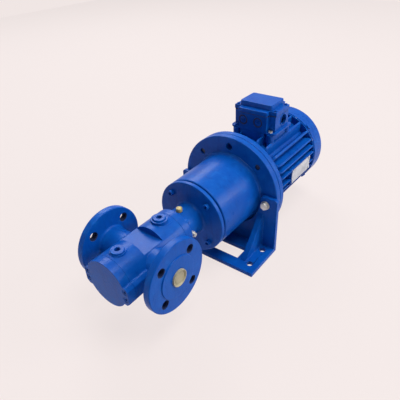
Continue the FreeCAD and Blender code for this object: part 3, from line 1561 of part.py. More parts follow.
def makeBox():
    floor = d.shaftHeight + d.boxFloor
    half = d.boxHalfWidth
    wall = d.boxWall
    reach = half + d.boxLedgeReach
    plan = roundedRectangle(boxFront, -half, boxBack, half, d.boxCorner)
    shell = padded("BoxShell", "XY_Plane", plan, d.boxHeight, (0, 0, floor))
    base = padded("BoxBase", "XY_Plane", roundedRectangle(boxFront, -reach, boxBack, reach, d.boxLedgeCorner),
                  d.boxLedge, (0, 0, floor))
    entryX = boxCentre + d.entryOffset
    entryZ = d.shaftHeight + d.entryLevel
    entryBoss = rod("EntryBoss", d.entryRadius + d.entryBossWall, wall + d.entryBossRise, entryX,
                    -(half + d.entryBossRise), entryZ, alongY)
    ledge = floor + d.boxLedge
    earthX = boxCentre
    earthY = d.earthScrewOffset
    tools = boxRoom("BoxRoom", floor + wall, d.boxHeight)
    tools += cornerNotches("BoxNotch", ledge, d.boxHeight, 1)
    tools += blankGrooves()
    tools += [
        rod("LeadOpening", d.leadHoleRadius, wall + 2, boxCentre, 0, floor - 1, alongZ),
        rod("EntryHole", d.entryRadius, wall + d.entryBossRise + 2, entryX, -(half + d.entryBossRise + 1),
            entryZ, alongY),
        rod("EarthHole", gapped(d.earthScrewRadius), wall, earthX, earthY, floor + 1, alongZ),
    ]
    for index, (x, y) in enumerate(boxScrewPlaces()):
        tools.append(rod("BaseHole%d" % index, gapped(d.boxScrewRadius), d.boxLedge + 2, x, y, floor - 1,
                         alongZ))
    top = floor + d.boxHeight
    for index, (x, y) in enumerate(lidScrewPlaces()):
        tools.append(rod("LidThread%d" % index, gapped(d.lidScrewRadius), d.lidScrewLength, x, y,
                         top - d.lidScrewLength + 1, alongZ))
    node("terminal_box", cut("Box", join("BoxBlank", [shell, base, entryBoss]), tools))
    node("earth_screw", screwUp("EarthScrew", earthX, earthY, floor + wall, d.earthScrewRadius,
                                d.earthScrewDepth, d.earthScrewHead, d.lidScrewHeadHeight))
    screws = [screwUp("BoxScrew%d" % index, x, y, ledge, d.boxScrewRadius, d.boxLedge + d.boxScrewDepth - 1,
                      d.boxScrewHead, d.boxScrewHeadHeight) for index, (x, y) in enumerate(boxScrewPlaces())]
    node("box_screws", together("BoxScrews", screws))
    makeTerminals(floor + wall)
    makeGasket(top, plan)
    makeLid(top + d.gasketThickness)


def makeTerminals(seat):
    # terminal board with six studs in two rows and a rib between them
    board = join("BoardBlank", [
        block("BoardPlate", boxCentre - d.boardLength / 2, -(d.boardWidth / 2), seat, d.boardLength,
              d.boardWidth, d.boardThickness),
        block("BoardRib", boxCentre - d.boardLength / 2, -(d.boardRibThickness / 2), seat, d.boardLength,
              d.boardRibThickness, d.boardRibHeight),
    ])
    places = [(boxCentre + d.studSpacing * step, d.studSpacing / 2 * side)
              for step in (-1, 0, 1) for side in (-1, 1)]
    bores = []
    sets = []
    for index, (x, y) in enumerate(places):
        bores.append(rod("StudBore%d" % index, gapped(d.studRadius), d.boardThickness + 1, x, y, seat + 1,
                         alongZ))
        sets.append(join("StudSet%d" % index, [
            rod("Stud%d" % index, d.studRadius, d.studLength, x, y, seat + 1, alongZ),
            hexRod("StudNut%d" % index, d.studNutRadius, d.studNutHeight, x, y, seat + d.boardThickness,
                   alongZ),
        ]))
    node("terminal_board", cut("Board", board, bores))
    node("terminal_studs", together("Studs", sets))


def makeGasket(bottom, plan):
    thick = d.gasketThickness
    seal = padded("GasketBlank", "XY_Plane", plan, thick, (0, 0, bottom))
    tools = boxRoom("GasketRoom", bottom - 1, thick + 2)
    tools += cornerNotches("GasketNotch", bottom - 1, thick + 2, 1)
    for index, (x, y) in enumerate(lidScrewPlaces()):
        tools.append(rod("GasketHole%d" % index, gapped(d.lidScrewRadius), thick + 2, x, y, bottom - 1,
                         alongZ))
    node("box_gasket", cut("Gasket", seal, tools))


def makeLid(bottom):
    over = d.lidOverlap
    half = d.boxHalfWidth + over
    inset = d.lidCapInset
    rim = padded("LidRim", "XY_Plane", roundedRectangle(boxFront - over, -half, boxBack + over, half,
                                                        d.boxCorner + over), d.lidRimHeight, (0, 0, bottom))
    side = d.boxHalfWidth - inset
    cap = padded("LidCap", "XY_Plane", roundedRectangle(boxFront + inset, -side, boxBack - inset, side,
                                                        d.boxCorner * 2), d.lidHeight - d.lidRimHeight + 1,
                 (0, 0, bottom + d.lidRimHeight - 1), -d.lidTaper)
    wall = d.boxWall
    hollow = block("LidHollow", boxFront + inset + wall, -(side - wall), bottom - 1,
                   d.boxLength - (inset + wall) * 2, (side - wall) * 2, d.lidHeight - wall + 1)
    tools = [hollow] + cornerNotches("LidNotch", bottom - 1, d.lidRimHeight + 2, over + 1)
    seat = bottom + d.lidRimHeight
    screws = []
    for index, (x, y) in enumerate(lidScrewPlaces()):
        tools.append(rod("LidHole%d" % index, gapped(d.lidScrewRadius), d.lidRimHeight + 2, x, y, bottom - 1,
                         alongZ))
        screws.append(screwUp("LidScrew%d" % index, x, y, seat, d.lidScrewRadius,
                              d.lidRimHeight + d.gasketThickness + d.lidScrewLength - d.threadRunout,
                              d.lidScrewHead, d.lidScrewHeadHeight))
    node("terminal_lid", cut("Lid", join("LidBlank", [rim, cap]), tools))
    node("lid_screws", together("LidScrews", screws))


def rivetPlaces():
    inset = d.rivetInset
    return [(x, z) for x in (plateStart + inset, plateStart + d.plateLength - inset)
            for z in (plateBottom + inset, plateBottom + d.plateHeight - inset)]


def makePlate():
    face = -(d.finTipRadius + d.plateThickness)
    plate = block("PlateBlank", plateStart, face, plateBottom, d.plateLength, d.plateThickness, d.plateHeight)
    holes = []
    rivets = []
    for index, (x, z) in enumerate(rivetPlaces()):
        holes.append(rod("PlateHole%d" % index, gapped(d.rivetRadius), d.plateThickness + 2, x, face - 1, z,
                         alongY))
        rivets.append(join("Rivet%d" % index, [
            rod("RivetShank%d" % index, d.rivetRadius, d.rivetLength, x, face, z, alongY),
            rod("RivetHead%d" % index, d.rivetHead, d.rivetHeadHeight, x, face - d.rivetHeadHeight, z,
                alongY),
        ]))
    node("nameplate", cut("Nameplate", plate, holes))
    node("nameplate_rivets", together("Rivets", rivets))


for make in (makeCasing, makeEndCover, makeLiner, makeScrews, makeDriveCover, makePumpRunningGear, makePlugs,
             makeBell, makeBracket, makeCoupling, makeMotorFlange, makeRearShield, makeFrame, makeWindings,
             makeRotor, makeFan, makeCowl, makeBox, makePlate):
    make()

doc.recompute()
problems = [item.Name for item in doc.Objects if "Invalid" in item.State or "Error" in item.State]
for label, item in nodes.items():
    if item.Shape.isNull() or not item.Shape.isValid():
        problems.append(label)
if problems:
    raise RuntimeError("not sound: " + ", ".join(problems))
for label, item in nodes.items():
    item.Shape.exportStep("parts/%s.step" % label)
print(len(nodes), "sub-parts written")
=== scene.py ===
import bpy
import json
import math
from mathutils import Matrix, Vector


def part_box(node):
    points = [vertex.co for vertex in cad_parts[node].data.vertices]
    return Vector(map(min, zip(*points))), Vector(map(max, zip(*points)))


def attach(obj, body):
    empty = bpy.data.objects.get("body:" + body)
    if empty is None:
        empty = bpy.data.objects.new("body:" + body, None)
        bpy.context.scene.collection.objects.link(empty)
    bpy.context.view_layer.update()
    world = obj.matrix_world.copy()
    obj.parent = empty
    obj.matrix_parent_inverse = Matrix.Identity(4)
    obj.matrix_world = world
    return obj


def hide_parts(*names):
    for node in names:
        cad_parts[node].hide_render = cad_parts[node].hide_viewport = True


# Blue three-screw pump set with bell housing, foot bracket and flange motor
# sizes in metres, X along the shaft towards the motor, Z up, floor at zero

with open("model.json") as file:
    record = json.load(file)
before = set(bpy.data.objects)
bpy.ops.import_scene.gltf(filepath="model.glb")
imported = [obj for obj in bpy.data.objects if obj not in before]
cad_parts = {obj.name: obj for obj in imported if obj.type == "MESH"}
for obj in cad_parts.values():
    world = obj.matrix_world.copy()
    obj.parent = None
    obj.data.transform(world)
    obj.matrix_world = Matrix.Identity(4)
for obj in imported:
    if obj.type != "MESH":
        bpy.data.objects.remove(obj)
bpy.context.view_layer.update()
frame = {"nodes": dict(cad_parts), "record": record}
nodes = frame["nodes"]
print("stage: frame loaded,", len(nodes), "nodes")

bodies = frame["record"]["behaviour"]["bodies"]
bodyOf = {member: body for body, members in bodies.items() for member in members}
nodeSlot = {part["node"]: part["material_slot"] for part in frame["record"]["subparts"]}
axisHeight = 0.105  # of the shaft over the floor


# shader maths

class Wire:
    # a value or colour socket that understands + - and *
    tree = None

    def __init__(self, socket):
        self.socket = socket

    @classmethod
    def node(cls, kind, settings=None, out=0, **values):
        made = cls.tree.nodes.new("ShaderNode" + kind)
        for key, value in (settings or {}).items():
            setattr(made, key, value)
        for name, value in values.items():
            plug(made, name, value)
        return cls(made.outputs[out]) if made.outputs else None

    def math(self, operation, other, clamp=False):
        return self.node("Math", {"operation": operation, "use_clamp": clamp}, in0=self, in1=other)

    def __add__(self, other):
        return self.math("ADD", other)

    def __radd__(self, other):
        return self.math("ADD", other)

    def __sub__(self, other):
        return self.math("SUBTRACT", other)

    def __rsub__(self, other):
        return self.node("Math", {"operation": "SUBTRACT"}, in0=other, in1=self)

    def __mul__(self, other):
        return self.math("MULTIPLY", other)

    def __rmul__(self, other):
        return self.math("MULTIPLY", other)

    def clamp(self):
        return self.math("ADD", 0.0, clamp=True)

    def above(self, edge, soft):
        # smooth step from 0 to 1 around edge
        return self.node("MapRange", {"interpolation_type": "SMOOTHSTEP"}, Value=self,
                         From_Min=edge - soft, From_Max=edge + soft)


def plug(made, name, value):
    # in3 is the socket with that number, any other name is a socket's own with _ for each space
    socket = made.inputs[int(name[2:]) if name[2:].isdigit() else name.replace("_", " ")]
    if isinstance(value, Wire):
        Wire.tree.links.new(value.socket, socket)
    elif socket.type == "RGBA":
        socket.default_value = (*value, 1)
    else:
        socket.default_value = value


def startTree(tree):
    tree.nodes.clear()
    Wire.tree = tree


def newMaterial(name):
    material = bpy.data.materials.new(name)
    material.use_nodes = True
    startTree(material.node_tree)
    return material


def shade(**values):
    # principled shader, with its constant sockets set directly
    Wire.node("OutputMaterial", in0=Wire.node("BsdfPrincipled", **values))


def mixColour(mask, low, high):
    return Wire.node("Mix", {"data_type": "RGBA"}, out=2, in0=mask, in6=low, in7=high)


def noise(scale, detail, rough, stretch=(1, 1, 1)):
    # grain in the piece's own coordinates, drawn out where stretch is small
    spot = Wire.node("Mapping", in0=Wire.node("TexCoord", out=3), Scale=stretch)
    return Wire.node("TexNoise", Vector=spot, Scale=scale, Detail=detail, Roughness=rough)


def bump(height, strength, distance, under=None):
    below = {"Normal": under} if under else {}
    return Wire.node("Bump", Height=height, Strength=strength, Distance=distance, **below)


def fromHex(code):
    # screen colour to linear
    parts = [int(code[index:index + 2], 16) / 255 for index in (0, 2, 4)]
    return tuple(part / 12.92 if part <= 0.04045 else ((part + 0.055) / 1.055) ** 2.4 for part in parts)


# finishes, where a texture is its scale, detail and roughness, and a skin its strength and depth

halfway = 0.5  # middle of a texture's range

enamel = {
    "deep": fromHex("04449a"),
    "mid": fromHex("0550a6"),
    "pale": fromHex("1065b6"),
    "dull": fromHex("053680"),
    "drift": (11, 3, 0.55),
    "mottling": (80, 4, 0.6),
    "mottlingShift": 3,
    "streaks": (120, 3, 0.6),
    "streakStretch": (1, 1, 0.12),
    "peel": (460, 2, 0.4),
    "castTexture": (5, 0.62),
    "driftShare": 0.7,
    "mottledShare": 0.3,
    "spreadSoft": 0.2,
    "paleFrom": (0.64, 0.1),
    "paleShare": 0.3,
    "dullFrom": (0.62, 0.12),
    "dullShare": 0.35,
    "peelSkin": (0.2, 0.0002),
    "streakSkin": (0.12, 0.0004),
    "castDepth": 0.0006,
    "roughness": 0.33,
    "mottledGloss": 0.24,
    "driftGloss": 0.16,
    "specular": 0.09,
    "coat": 0.03,
    "coatRoughness": 0.12,
}


def shifted(texture, shift):
    scale, detail, rough = texture
    return scale + shift, detail, rough


def blueEnamel(name, grain, grainScale, shift=0.0, rough=0.0):
    # brushed-on enamel: slow colour drift, faint brush streaks, orange peel and casting grain under it
    material = newMaterial(name)
    drift = noise(*shifted(enamel["drift"], shift))
    mottled = noise(*shifted(enamel["mottling"], shift * enamel["mottlingShift"]))
    streaks = noise(*shifted(enamel["streaks"], shift), enamel["streakStretch"])
    spread = drift * enamel["driftShare"] + mottled * enamel["mottledShare"]
    base = mixColour(spread.above(halfway, enamel["spreadSoft"]), enamel["deep"], enamel["mid"])
    base = mixColour(mottled.above(*enamel["paleFrom"]) * enamel["paleShare"], base, enamel["pale"])
    base = mixColour(streaks.above(*enamel["dullFrom"]) * enamel["dullShare"], base, enamel["dull"])
    skin = bump(noise(*enamel["peel"]), *enamel["peelSkin"])
    skin = bump(streaks, *enamel["streakSkin"], skin)
    skin = bump(noise(grainScale, *enamel["castTexture"]), grain, enamel["castDepth"], skin)
    gloss = enamel["roughness"] + rough + (mottled - halfway) * enamel["mottledGloss"]
    gloss = gloss + (drift - halfway) * enamel["driftGloss"]
    shade(Base_Color=base, Roughness=gloss.clamp(), Normal=skin, Metallic=0.0, Coat_Weight=enamel["coat"],
          Coat_Roughness=enamel["coatRoughness"], Specular_IOR_Level=enamel["specular"])
    return material


metal = {
    "markScale": 900,
    "markTexture": (3, 0.6),
    "markSkin": (0.25, 0.0001),
    "markGloss": 0.1,
    "cloud": (60, 3, 0.5),
    "cloudSoft": 0.2,
    "cloudGloss": 0.3,
}


def bareMetal(name, low, high, roughness, metallic=1.0, stretch=(1, 1, 1), markScale=metal["markScale"]):
    # machined metal with fine tool marks across the stretched direction
    material = newMaterial(name)
    marks = noise(markScale, *metal["markTexture"], stretch)
    cloud = noise(*metal["cloud"])
    sheen = roughness + (cloud - halfway) * metal["cloudGloss"] + (marks - halfway) * metal["markGloss"]
    base = mixColour(cloud.above(halfway, metal["cloudSoft"]), low, high)
    shade(Base_Color=base, Roughness=sheen.clamp(), Metallic=metallic, Normal=bump(marks, *metal["markSkin"]))
    return material


plastic = {
    "stipple": (700, 2, 0.5),
    "stippleSkin": (0.2, 0.0002),
    "stippleGloss": 0.2,
    "cloud": (45, 3, 0.5),
    "cloudSoft": 0.25,
}


def mouldedPlastic(name, low, high, roughness):
    material = newMaterial(name)
    stipple = noise(*plastic["stipple"])
    cloud = noise(*plastic["cloud"])
    sheen = roughness + (stipple - halfway) * plastic["stippleGloss"]
    base = mixColour(cloud.above(halfway, plastic["cloudSoft"]), low, high)
    shade(Base_Color=base, Roughness=sheen.clamp(), Normal=bump(stipple, *plastic["stippleSkin"]))
    return material


# enamels: strength and scale of the grain, shift of the texture, added roughness
# metals and plastics: darkest and lightest colour, roughness, then share of metal and the tool marks
finishes = {
    "castBlue": blueEnamel("castBlue", 0.45, 240),
    "motorBlue": blueEnamel("motorBlue", 0.25, 420, 3),
    "plateBlue": blueEnamel("plateBlue", 0.1, 150, 5),
    "sheetBlue": blueEnamel("sheetBlue", 0.05, 120, 7, -0.03),
    "screwBlue": blueEnamel("screwBlue", 0.1, 600, 9, 0.03),
    "darkScrew": bareMetal("darkScrew", (0.02, 0.03, 0.06), (0.05, 0.06, 0.1), 0.45, 0.7),
    "ironGrey": bareMetal("ironGrey", (0.2, 0.2, 0.21), (0.32, 0.32, 0.32), 0.5),
    "groundSteel": bareMetal("groundSteel", (0.5, 0.5, 0.5), (0.66, 0.66, 0.65), 0.25, 1.0, (20, 1, 1)),
    "bearingSteel": bareMetal("bearingSteel", (0.55, 0.55, 0.56), (0.7, 0.7, 0.7), 0.2),
    "springSteel": bareMetal("springSteel", (0.1, 0.1, 0.11), (0.2, 0.2, 0.2), 0.45),
    "zinc": bareMetal("zinc", (0.5, 0.49, 0.44), (0.74, 0.73, 0.68), 0.34, 0.85),
    "castAluminium": bareMetal("castAluminium", (0.45, 0.45, 0.46), (0.6, 0.6, 0.61), 0.42),
    "lamination": bareMetal("lamination", (0.22, 0.22, 0.23), (0.34, 0.34, 0.36), 0.45, 1.0, (30, 1, 1)),
    "copper": bareMetal("copper", (0.42, 0.16, 0.06), (0.6, 0.26, 0.1), 0.35, 0.9, (1, 8, 8), 500),
    "brass": bareMetal("brass", (0.55, 0.4, 0.14), (0.72, 0.55, 0.24), 0.3),
    "plateMetal": bareMetal("plateMetal", (0.42, 0.46, 0.52), (0.6, 0.63, 0.68), 0.38, 0.75, (1, 1, 30), 300),
    # dark navy painted shade for the port hole walls, their threads and the blank grooves, rough
    "paintedRecessShade": mouldedPlastic("paintedRecessShade", fromHex("061c48"), fromHex("0a2658"), 0.85),
    "carbon": mouldedPlastic("carbon", (0.02, 0.02, 0.02), (0.05, 0.05, 0.05), 0.4),
    "cream": mouldedPlastic("cream", fromHex("8a846c"), fromHex("a09a80"), 0.5),
    "yellowed": mouldedPlastic("yellowed", fromHex("a8955a"), fromHex("c4b27a"), 0.45),
    "blackPlastic": mouldedPlastic("blackPlastic", (0.015, 0.015, 0.016), (0.03, 0.03, 0.03), 0.5),
    "rubber": mouldedPlastic("rubber", (0.012, 0.012, 0.012), (0.025, 0.025, 0.025), 0.7),
    "spiderRed": mouldedPlastic("spiderRed", (0.35, 0.03, 0.02), (0.5, 0.06, 0.03), 0.5),
}

slotFinish = {
    "blue_cast": "castBlue", "blue_plate": "plateBlue", "blue_motor": "motorBlue", "blue_sheet": "sheetBlue",
    "blue_screw": "screwBlue", "dark_screw": "darkScrew", "grey_iron": "ironGrey",
    "ground_steel": "groundSteel", "bearing_steel": "bearingSteel", "spring_steel": "springSteel",
    "seal_carbon": "carbon", "stainless": "groundSteel", "cream_plastic": "cream",
    "yellow_plastic": "yellowed", "zinc": "zinc",
    "cast_aluminium": "castAluminium", "spider_rubber": "spiderRed", "lamination": "lamination",
    "copper": "copper", "black_plastic": "blackPlastic", "gasket_rubber": "rubber", "brass_stud": "brass",
    "plate_metal": "plateMetal",
}

for name, item in nodes.items():
    item.data.materials.clear()
    item.data.materials.append(finishes[slotFinish[nodeSlot[name]]])
print("stage: finishes on", len(nodes), "nodes")


# modelling helpers

facing = 0.9  # a face is picked where its normal reaches this along an axis

joining = {
    "merge": 0.000004,  # loose triangles of a node
    "mergeThread": 0.00001,
    "flat": math.radians(0.4),
    "quadFlat": math.radians(0.5),
    "quadShape": math.radians(180),
}


def nothingSelected():
    bpy.ops.object.select_all(action="DESELECT")


def choose(item):
    nothingSelected()
    item.select_set(True)
    bpy.context.view_layer.objects.active = item


def editAll(item):
    choose(item)
    bpy.ops.object.mode_set(mode="EDIT")
    bpy.ops.mesh.select_all(action="SELECT")


def leaveEdit():
    bpy.ops.object.mode_set(mode="OBJECT")


def pickFaces(item, wanted):
    # leaves the item in edit mode with the wanted faces selected
    editAll(item)
    bpy.ops.mesh.select_all(action="DESELECT")
    leaveEdit()
    for face in item.data.polygons:
        face.select = bool(wanted(face))
    bpy.ops.object.mode_set(mode="EDIT")
    bpy.ops.mesh.select_mode(type="FACE")


def applied(item, kind, **settings):
    # adds one modifier, sets it and applies it
    choose(item)
    modifier = item.modifiers.new(kind.lower(), kind)
    for key, value in settings.items():
        setattr(modifier, key, value)
    bpy.ops.object.modifier_apply(modifier=modifier.name)


def smooth(item, angle=38):
    choose(item)
    bpy.ops.object.shade_smooth_by_angle(angle=math.radians(angle))


def rounded(item, width, segments=2, angle=32):
    # every sharp edge gets a small round, and flat faces stay flat in the light
    applied(item, "BEVEL", width=width, segments=segments, limit_method="ANGLE",
            angle_limit=math.radians(angle), use_clamp_overlap=False)
    smooth(item)
    applied(item, "WEIGHTED_NORMAL", keep_sharp=True)


def copied(node, name, whole=False):
    # a copy of a node with its loose triangles joined, to whole flat faces where asked
    item = bpy.data.objects.new(name, nodes[node].data.copy())
    bpy.context.collection.objects.link(item)
    choose(item)
    bpy.ops.mesh.customdata_custom_splitnormals_clear()
    editAll(item)
    bpy.ops.mesh.remove_doubles(threshold=joining["merge"])
    if whole:
        bpy.ops.mesh.dissolve_limited(angle_limit=joining["flat"])
    else:
        bpy.ops.mesh.tris_convert_to_quads(face_threshold=joining["quadFlat"],
                                           shape_threshold=joining["quadShape"])
    leaveEdit()
    return item


def twinAt(item, spot):
    # a copy with its own mesh, moved by spot
    choose(item)
    bpy.ops.object.duplicate()
    twin = bpy.context.object
    twin.location = spot
    bpy.ops.object.transform_apply(location=True, rotation=False, scale=False)
    return twin


def repeatedAs(name, models, spots):
    # one piece of copies of the models at all spots
    twins = [twinAt(model, spot) for spot in spots for model in models]
    for model in models:
        bpy.data.objects.remove(model)
    nothingSelected()
    for twin in twins:
        twin.select_set(True)
    bpy.context.view_layer.objects.active = twins[0]
    bpy.ops.object.join()
    joined = bpy.context.object
    joined.name = name
    return joined


def finished(item, node, stands=False):
    # gives the item the finish and body of a node, and lets it stand for the node where asked
    slotName = nodeSlot[node]
    body = bodyOf[node]
    item.data.materials.clear()
    item.data.materials.append(finishes[slotFinish[slotName]])
    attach(item, body)
    if stands:
        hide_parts(node)


def secondFinish(item, finish, wanted):
    # another finish on the wanted faces
    item.data.materials.append(finishes[finish])
    for face in item.data.polygons:
        if wanted(face):
            face.material_index = 1


# painted castings, plates, screws and plugs, each a copy of its solid with rounded edges

edgeRound = {
    "pump_casing": 0.0008,
    "end_cover": 0.0004,
    "drive_cover": 0.0007,
    "bell_housing": 0.0009,
    "foot_bracket": 0.0009,
    "motor_flange": 0.0009,
    "motor_frame": 0.0006,
    "fan_cowl": 0.0004,
    "rear_shield": 0.0005,
    "terminal_box": 0.0006,
    "terminal_lid": 0.0009,
    "bracket_bolts": 0.0006,
    "bracket_washers": 0.0003,
    "flange_screws": 0.0006,
    "disc_screws": 0.0006,
    "drive_cover_screws": 0.0005,
    "end_cover_screws": 0.0004,
    "priming_plug": 0.0005,
    "vent_plug": 0.0005,
    "leak_plug": 0.0006,
    "drain_fitting": 0.0004,
    "cooling_fan": 0.0004,
    "nameplate_rivets": 0.0003,
}
wholeFaces = ("bell_housing", "terminal_lid", "motor_flange", "drive_cover", "end_cover", "bracket_bolts",
              "flange_screws")

for node, width in edgeRound.items():
    piece = copied(node, "rounded_" + node, node in wholeFaces)
    rounded(piece, width)
    finished(piece, node, True)
print("stage: rounded", len(edgeRound), "solids")


# slotted screws of the terminal box, its lid and its earth

slotCut = {
    "box_screws": {"width": 0.0011, "depth": 0.0014, "length": 0.012, "round": 0.0004},
    "lid_screws": {"width": 0.0008, "depth": 0.0009, "length": 0.008, "round": 0.0002},
    "earth_screw": {"width": 0.0008, "depth": 0.0009, "length": 0.008, "round": 0.0002},
}
slotTurns = (20, 75, -35, 50)  # degrees, one screw after another
paintedScrews = {"node": "box_screws", "beyond": 0.02, "finish": "screwBlue"}


def looseParts(item):
    # centre and highest point of each separate solid in a mesh
    choose(item)
    bpy.ops.object.duplicate()
    bpy.ops.mesh.separate(type="LOOSE")
    places = []
    for part in list(bpy.context.selected_objects):
        points = [corner.co for corner in part.data.vertices]
        middle = sum(points, Vector()) / len(points)
        places.append((middle.x, middle.y, max(point.z for point in points)))
        bpy.data.objects.remove(part)
    return sorted(places)


def slottedScrews(node, values):
    item = copied(node, "slotted_" + node)
    cutters = []
    for index, (x, y, top) in enumerate(looseParts(item)):
        nothingSelected()
        bpy.ops.mesh.primitive_cube_add(size=1, location=(x, y, top))
        cutter = bpy.context.object
        cutter.scale = (values["length"], values["width"], values["depth"] * 2)
        cutter.rotation_euler.z = math.radians(slotTurns[index % len(slotTurns)])
        cutters.append(cutter)
    for cutter in cutters:
        applied(item, "BOOLEAN", operation="DIFFERENCE", object=cutter, solver="EXACT")
        bpy.data.objects.remove(cutter)
    rounded(item, values["round"])
    finished(item, node, True)
    if node == paintedScrews["node"]:
        # those on the far side take the blue enamel instead of zinc
        secondFinish(item, paintedScrews["finish"], lambda face: face.center.y > paintedScrews["beyond"])


for node, values in slotCut.items():
    slottedScrews(node, values)
print("stage: slotted screws")


# bare nameplate with a raised border

namePlate = {
    "border": 0.0016,
    "sunk": 0.0003,
    "round": 0.00025,
    "roundAngle": 20,
}


def buildNameplate():
    low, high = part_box("nameplate")
    nothingSelected()
    bpy.ops.mesh.primitive_cube_add(size=1, location=(low + high) / 2)
    plate = bpy.context.object
    plate.name = "bordered_nameplate"
    plate.scale = high - low
    bpy.ops.object.transform_apply(location=True, rotation=False, scale=True)
    pickFaces(plate, lambda face: face.normal.y < -facing)
    bpy.ops.mesh.inset(thickness=namePlate["border"])
    bpy.ops.transform.translate(value=(0, namePlate["sunk"], 0))
    leaveEdit()
    rounded(plate, namePlate["round"], angle=namePlate["roundAngle"])
    finished(plate, "nameplate", True)


buildNameplate()
print("stage: nameplate")


# threads inside the cable entry and the port holes, each a helix of one small triangle

entryThread = {"turns": 3, "pitch": 0.0015, "height": 0.0007, "steps": 48}
holeThread = {"turns": 5, "pitch": 0.002, "height": 0.0014, "steps": 24}
portHoles = {
    "centreX": -0.1925,
    "reach": 0.03005,
    "threadRadius": 0.0071,
    "threadStarts": (-0.0722, 0.0623),
    "wallRadius": 0.0076,
    "wallFrom": 0.0612,
    "wallTo": 0.0729,
    "wallFacing": 0.6,
}


def threadAlongY(name, values, radius, start=(0, 0, 0)):
    nothingSelected()
    bpy.ops.mesh.primitive_circle_add(vertices=3, radius=values["height"], fill_type="NOTHING",
                                      location=(radius, 0, 0),
                                      rotation=(math.radians(90), 0, math.radians(180)))
    thread = bpy.context.object
    thread.name = name
    bpy.ops.object.transform_apply(location=True, rotation=True, scale=True)
    applied(thread, "SCREW", axis="Z", angle=math.radians(360), iterations=values["turns"],
            screw_offset=values["pitch"], steps=values["steps"], render_steps=values["steps"],
            use_merge_vertices=True, merge_threshold=joining["mergeThread"])
    thread.rotation_euler = (math.radians(-90), 0, 0)
    thread.location = start
    bpy.ops.object.transform_apply(location=True, rotation=True, scale=True)
    editAll(thread)
    bpy.ops.mesh.remove_doubles(threshold=joining["mergeThread"])
    bpy.ops.mesh.select_all(action="SELECT")
    bpy.ops.mesh.normals_make_consistent(inside=False)
    leaveEdit()
    smooth(thread)
    return thread


def buildEntryThread():
    entry = next(mount for mount in frame["record"]["mounts"] if mount["name"] == "cable_entry")
    finished(threadAlongY("entry_thread", entryThread, entry["dims"]["r_mm"] / 1000, entry["pos_m"]),
             "terminal_box")


def holeCentres():
    reach = portHoles["reach"]
    return [Vector((portHoles["centreX"] + x, 0, axisHeight + z)) for x in (-reach, reach)
            for z in (-reach, reach)]


def buildPortThreads():
    thread = threadAlongY("thread", holeThread, portHoles["threadRadius"])
    starts = [centre + Vector((0, y, 0)) for y in portHoles["threadStarts"] for centre in holeCentres()]
    threads = repeatedAs("port_threads", [thread], starts)
    finished(threads, "pump_casing")
    # the port threads take the dark navy painted shade
    threads.data.materials[0] = finishes["paintedRecessShade"]


def onHoleWall(face):
    spot = Vector((face.center.x, 0, face.center.z))
    away = min((spot - centre).length for centre in holeCentres())
    deep = portHoles["wallFrom"] < abs(face.center.y) < portHoles["wallTo"]
    return deep and away < portHoles["wallRadius"] and abs(face.normal.y) < portHoles["wallFacing"]


buildEntryThread()
buildPortThreads()
# the port hole walls take the dark navy painted shade, with a rough surface
secondFinish(bpy.data.objects["rounded_pump_casing"], "paintedRecessShade", onHoleWall)
print("stage: threads and bare hole walls")


# weld beads where the ribs of the bracket meet its plate and its base

weld = {
    "size": 0.0019,
    "pitch": 0.0017,
    "flatten": 0.8,
    "segments": 10,
    "rings": 6,
    "smoothAngle": 60,
    "ribFaces": (-0.0685, -0.079, 0.0685, 0.079),
    "ribStart": -0.018,
    "ribCrest": 0.074,
    "plateFace": 0.0355,
    "baseTop": 0.008,
}


def beadRow(start, finish):
    # a row of overlapping drops from start to finish
    run = finish - start
    count = int(run.length / weld["pitch"])
    nothingSelected()
    bpy.ops.mesh.primitive_uv_sphere_add(segments=weld["segments"], ring_count=weld["rings"],
                                         radius=weld["size"], location=start)
    drop = bpy.context.object
    drop.name = "bead"
    drop.scale.z = weld["flatten"]
    bpy.ops.object.transform_apply(location=True, rotation=False, scale=True)
    applied(drop, "ARRAY", count=count, use_relative_offset=False, use_constant_offset=True,
            constant_offset_displace=run / count)
    smooth(drop, weld["smoothAngle"])
    return drop


def buildWelds():
    foot = Vector((weld["ribStart"], 0, weld["baseTop"]))
    corner = Vector((weld["plateFace"], 0, weld["baseTop"]))
    crest = Vector((weld["plateFace"], 0, weld["ribCrest"]))
    rows = [beadRow(foot, corner), beadRow(corner, crest)]
    finished(repeatedAs("bracket_welds", rows, [(0, y, 0) for y in weld["ribFaces"]]), "foot_bracket")


buildWelds()
print("stage: welds")


# protective plugs in the port bores, dished, with a thin rim

portPlug = {
    "sides": 64,
    "rim": 0.0014,
    "dish": 0.0026,
    "taper": 0.93,
    "innerRing": 0.0028,
    "ringStep": 0.0005,
    "round": 0.0004,
}


def buildPortPlug(node, side):
    # side is the sense of Y that the plug looks to
    low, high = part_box(node)
    nothingSelected()
    bpy.ops.mesh.primitive_cylinder_add(vertices=portPlug["sides"], radius=(high.x - low.x) / 2,
                                        depth=high.y - low.y, location=(low + high) / 2,
                                        rotation=(math.radians(90), 0, 0))
    disc = bpy.context.object
    disc.name = "dished_" + node
    bpy.ops.object.transform_apply(location=True, rotation=True, scale=True)
    pickFaces(disc, lambda face: face.normal.y * side > facing)
    bpy.ops.mesh.inset(thickness=portPlug["rim"])
    bpy.ops.mesh.extrude_region_move(TRANSFORM_OT_translate={"value": (0, -side * portPlug["dish"], 0)})
    bpy.ops.transform.resize(value=(portPlug["taper"], 1, portPlug["taper"]))
    bpy.ops.mesh.inset(thickness=portPlug["innerRing"])
    bpy.ops.mesh.extrude_region_move(TRANSFORM_OT_translate={"value": (0, side * portPlug["ringStep"], 0)})
    leaveEdit()
    rounded(disc, portPlug["round"])
    finished(disc, node, True)


buildPortPlug("suction_plug", -1)
buildPortPlug("discharge_plug", 1)
print("stage: port plugs")


# rim of the rear shield that closes the slot before the cowl

shieldRim = {
    "from": 0.2399,
    "to": 0.2431,
    "inner": 0.055,
    "outer": 0.0792,
    "sides": 96,
    "round": 0.0006,
}


